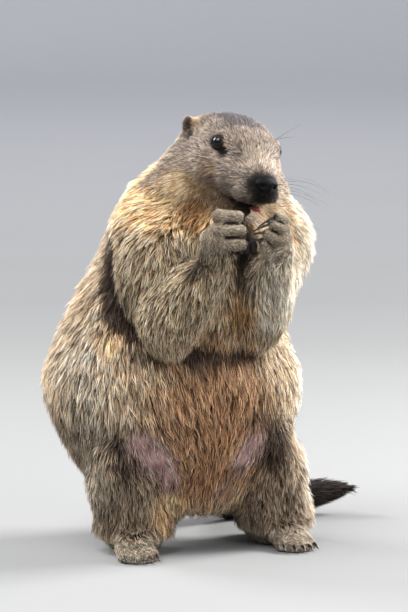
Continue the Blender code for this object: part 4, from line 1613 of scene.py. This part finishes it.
class MARMOT_OT_stage(bpy.types.Operator):
    """Set up the pale floor, the soft lamps and the camera"""

    bl_idname = "marmot.stage"
    bl_label = "Stage"

    def execute(self, context):
        scene = context.scene
        sweep = [(y, 0) for y in np.linspace(FLOOR_FRONT, FLOOR_BACK, 32)]
        for angle in np.linspace(0.15, 1.57, 10):
            sweep.append((FLOOR_BACK + SWEEP * math.sin(angle), SWEEP - SWEEP * math.cos(angle)))
        sweep.append((FLOOR_BACK + SWEEP, WALL_TOP))
        across = np.linspace(-FLOOR_HALF, FLOOR_HALF, 41)
        wide = len(across)
        points = [(x, y, z) for y, z in sweep for x in across]
        corners = (0, 1, wide + 1, wide)
        faces = [
            tuple(row * wide + k + corner for corner in corners)
            for row in range(len(sweep) - 1) for k in range(wide - 1)
        ]
        turn = Matrix.Rotation(VIEW_AZIMUTH, 4, "Z")
        floor = bpy.data.objects.new("floor", mesh_of(moved(points, turn), faces))
        scene.collection.objects.link(floor)
        far = ramp(np.linalg.norm(np.array(points)[:, :2], axis=1), *FAR_OFF)[:, None]
        paint_on(floor.data, (1 - far) * np.array(colours().floor) + far * np.array(colours().backdrop))
        floor.data.materials.append(finish("stage paper", name="Stage paper"))
        self.lamps(scene)
        self.camera(scene)
        scene.view_settings.view_transform = "Standard"
        return {"FINISHED"}

    def lamps(self, scene):
        """Sets four soft lamps round the animal, and the light of the sky."""
        lights = scene.marmot_lights
        right, _, back = view_axes()
        for name, setting, share, size, (aside, toward, height) in LAMPS:
            place = right * aside + back * toward + Vector((0, 0, height))
            lamp = bpy.data.lights.new(name, "AREA")
            lamp.energy, lamp.size = share * getattr(lights, setting), size
            held = bpy.data.objects.new(name, lamp)
            held.location = LAMPS_AIM + place
            held.rotation_euler = place.to_track_quat("Z", "Y").to_euler()
            scene.collection.objects.link(held)
        world = bpy.data.worlds.new("studio")
        world.use_nodes = True
        sky = world.node_tree.nodes["Background"]
        sky.inputs["Color"].default_value = SKY_COLOUR
        sky.inputs["Strength"].default_value = lights.sky
        scene.world = world

    def camera(self, scene):
        """Aims the camera so that the point between the feet falls on its pixel."""
        right, up, back = view_axes()
        aim = right * (PICTURE[0] / 2 - FOOT_PIXEL[0]) + up * (FOOT_PIXEL[1] - PICTURE[1] / 2)
        lens = bpy.data.cameras.new("camera")
        lens.sensor_width = SENSOR
        lens.lens = SENSOR * VIEW_DISTANCE / (PICTURE[1] * PIXEL)
        lens.clip_end = 100
        camera = bpy.data.objects.new("camera", lens)
        camera.location = FOOT_POINT + aim * PIXEL + back * VIEW_DISTANCE
        camera.rotation_mode = "QUATERNION"
        camera.rotation_quaternion = Matrix((right, up, back)).transposed().to_quaternion()
        scene.collection.objects.link(camera)
        scene.camera = camera


# ---------------------------------------------------------------- panel and order of work

STEPS = (
    MARMOT_OT_skin, MARMOT_OT_coat, MARMOT_OT_eyes, MARMOT_OT_nose, MARMOT_OT_mouth,
    MARMOT_OT_claws, MARMOT_OT_pads, MARMOT_OT_whiskers, MARMOT_OT_stage,
)


class MARMOT_PT_panel(bpy.types.Panel):
    """The marmot's pieces, its sizes and its colours"""

    bl_label = "Marmot"
    bl_idname = "MARMOT_PT_panel"
    bl_space_type = "VIEW_3D"
    bl_region_type = "UI"
    bl_category = "Marmot"

    def draw(self, context):
        for step in STEPS:
            self.layout.operator(step.bl_idname)
        for group in GROUPS:
            kept = getattr(context.scene, group)
            for name in kept.bl_rna.properties.keys():
                if name not in ("rna_type", "name"):
                    self.layout.prop(kept, name)


GROUPS = {
    "marmot_sizes": MarmotSizes, "marmot_colours": MarmotColours, "marmot_lights": MarmotLights
}
CLASSES = (*GROUPS.values(), *STEPS, MARMOT_PT_panel)


def register():
    for kept in CLASSES:
        bpy.utils.register_class(kept)
    for name, group in GROUPS.items():
        setattr(bpy.types.Scene, name, PointerProperty(type=group))


def unregister():
    for name in GROUPS:
        delattr(bpy.types.Scene, name)
    for kept in reversed(CLASSES):
        bpy.utils.unregister_class(kept)


def main():
    register()
    for step in STEPS:
        group, name = step.bl_idname.split(".")
        getattr(getattr(bpy.ops, group), name)()


if __name__ == "__main__":
    main()
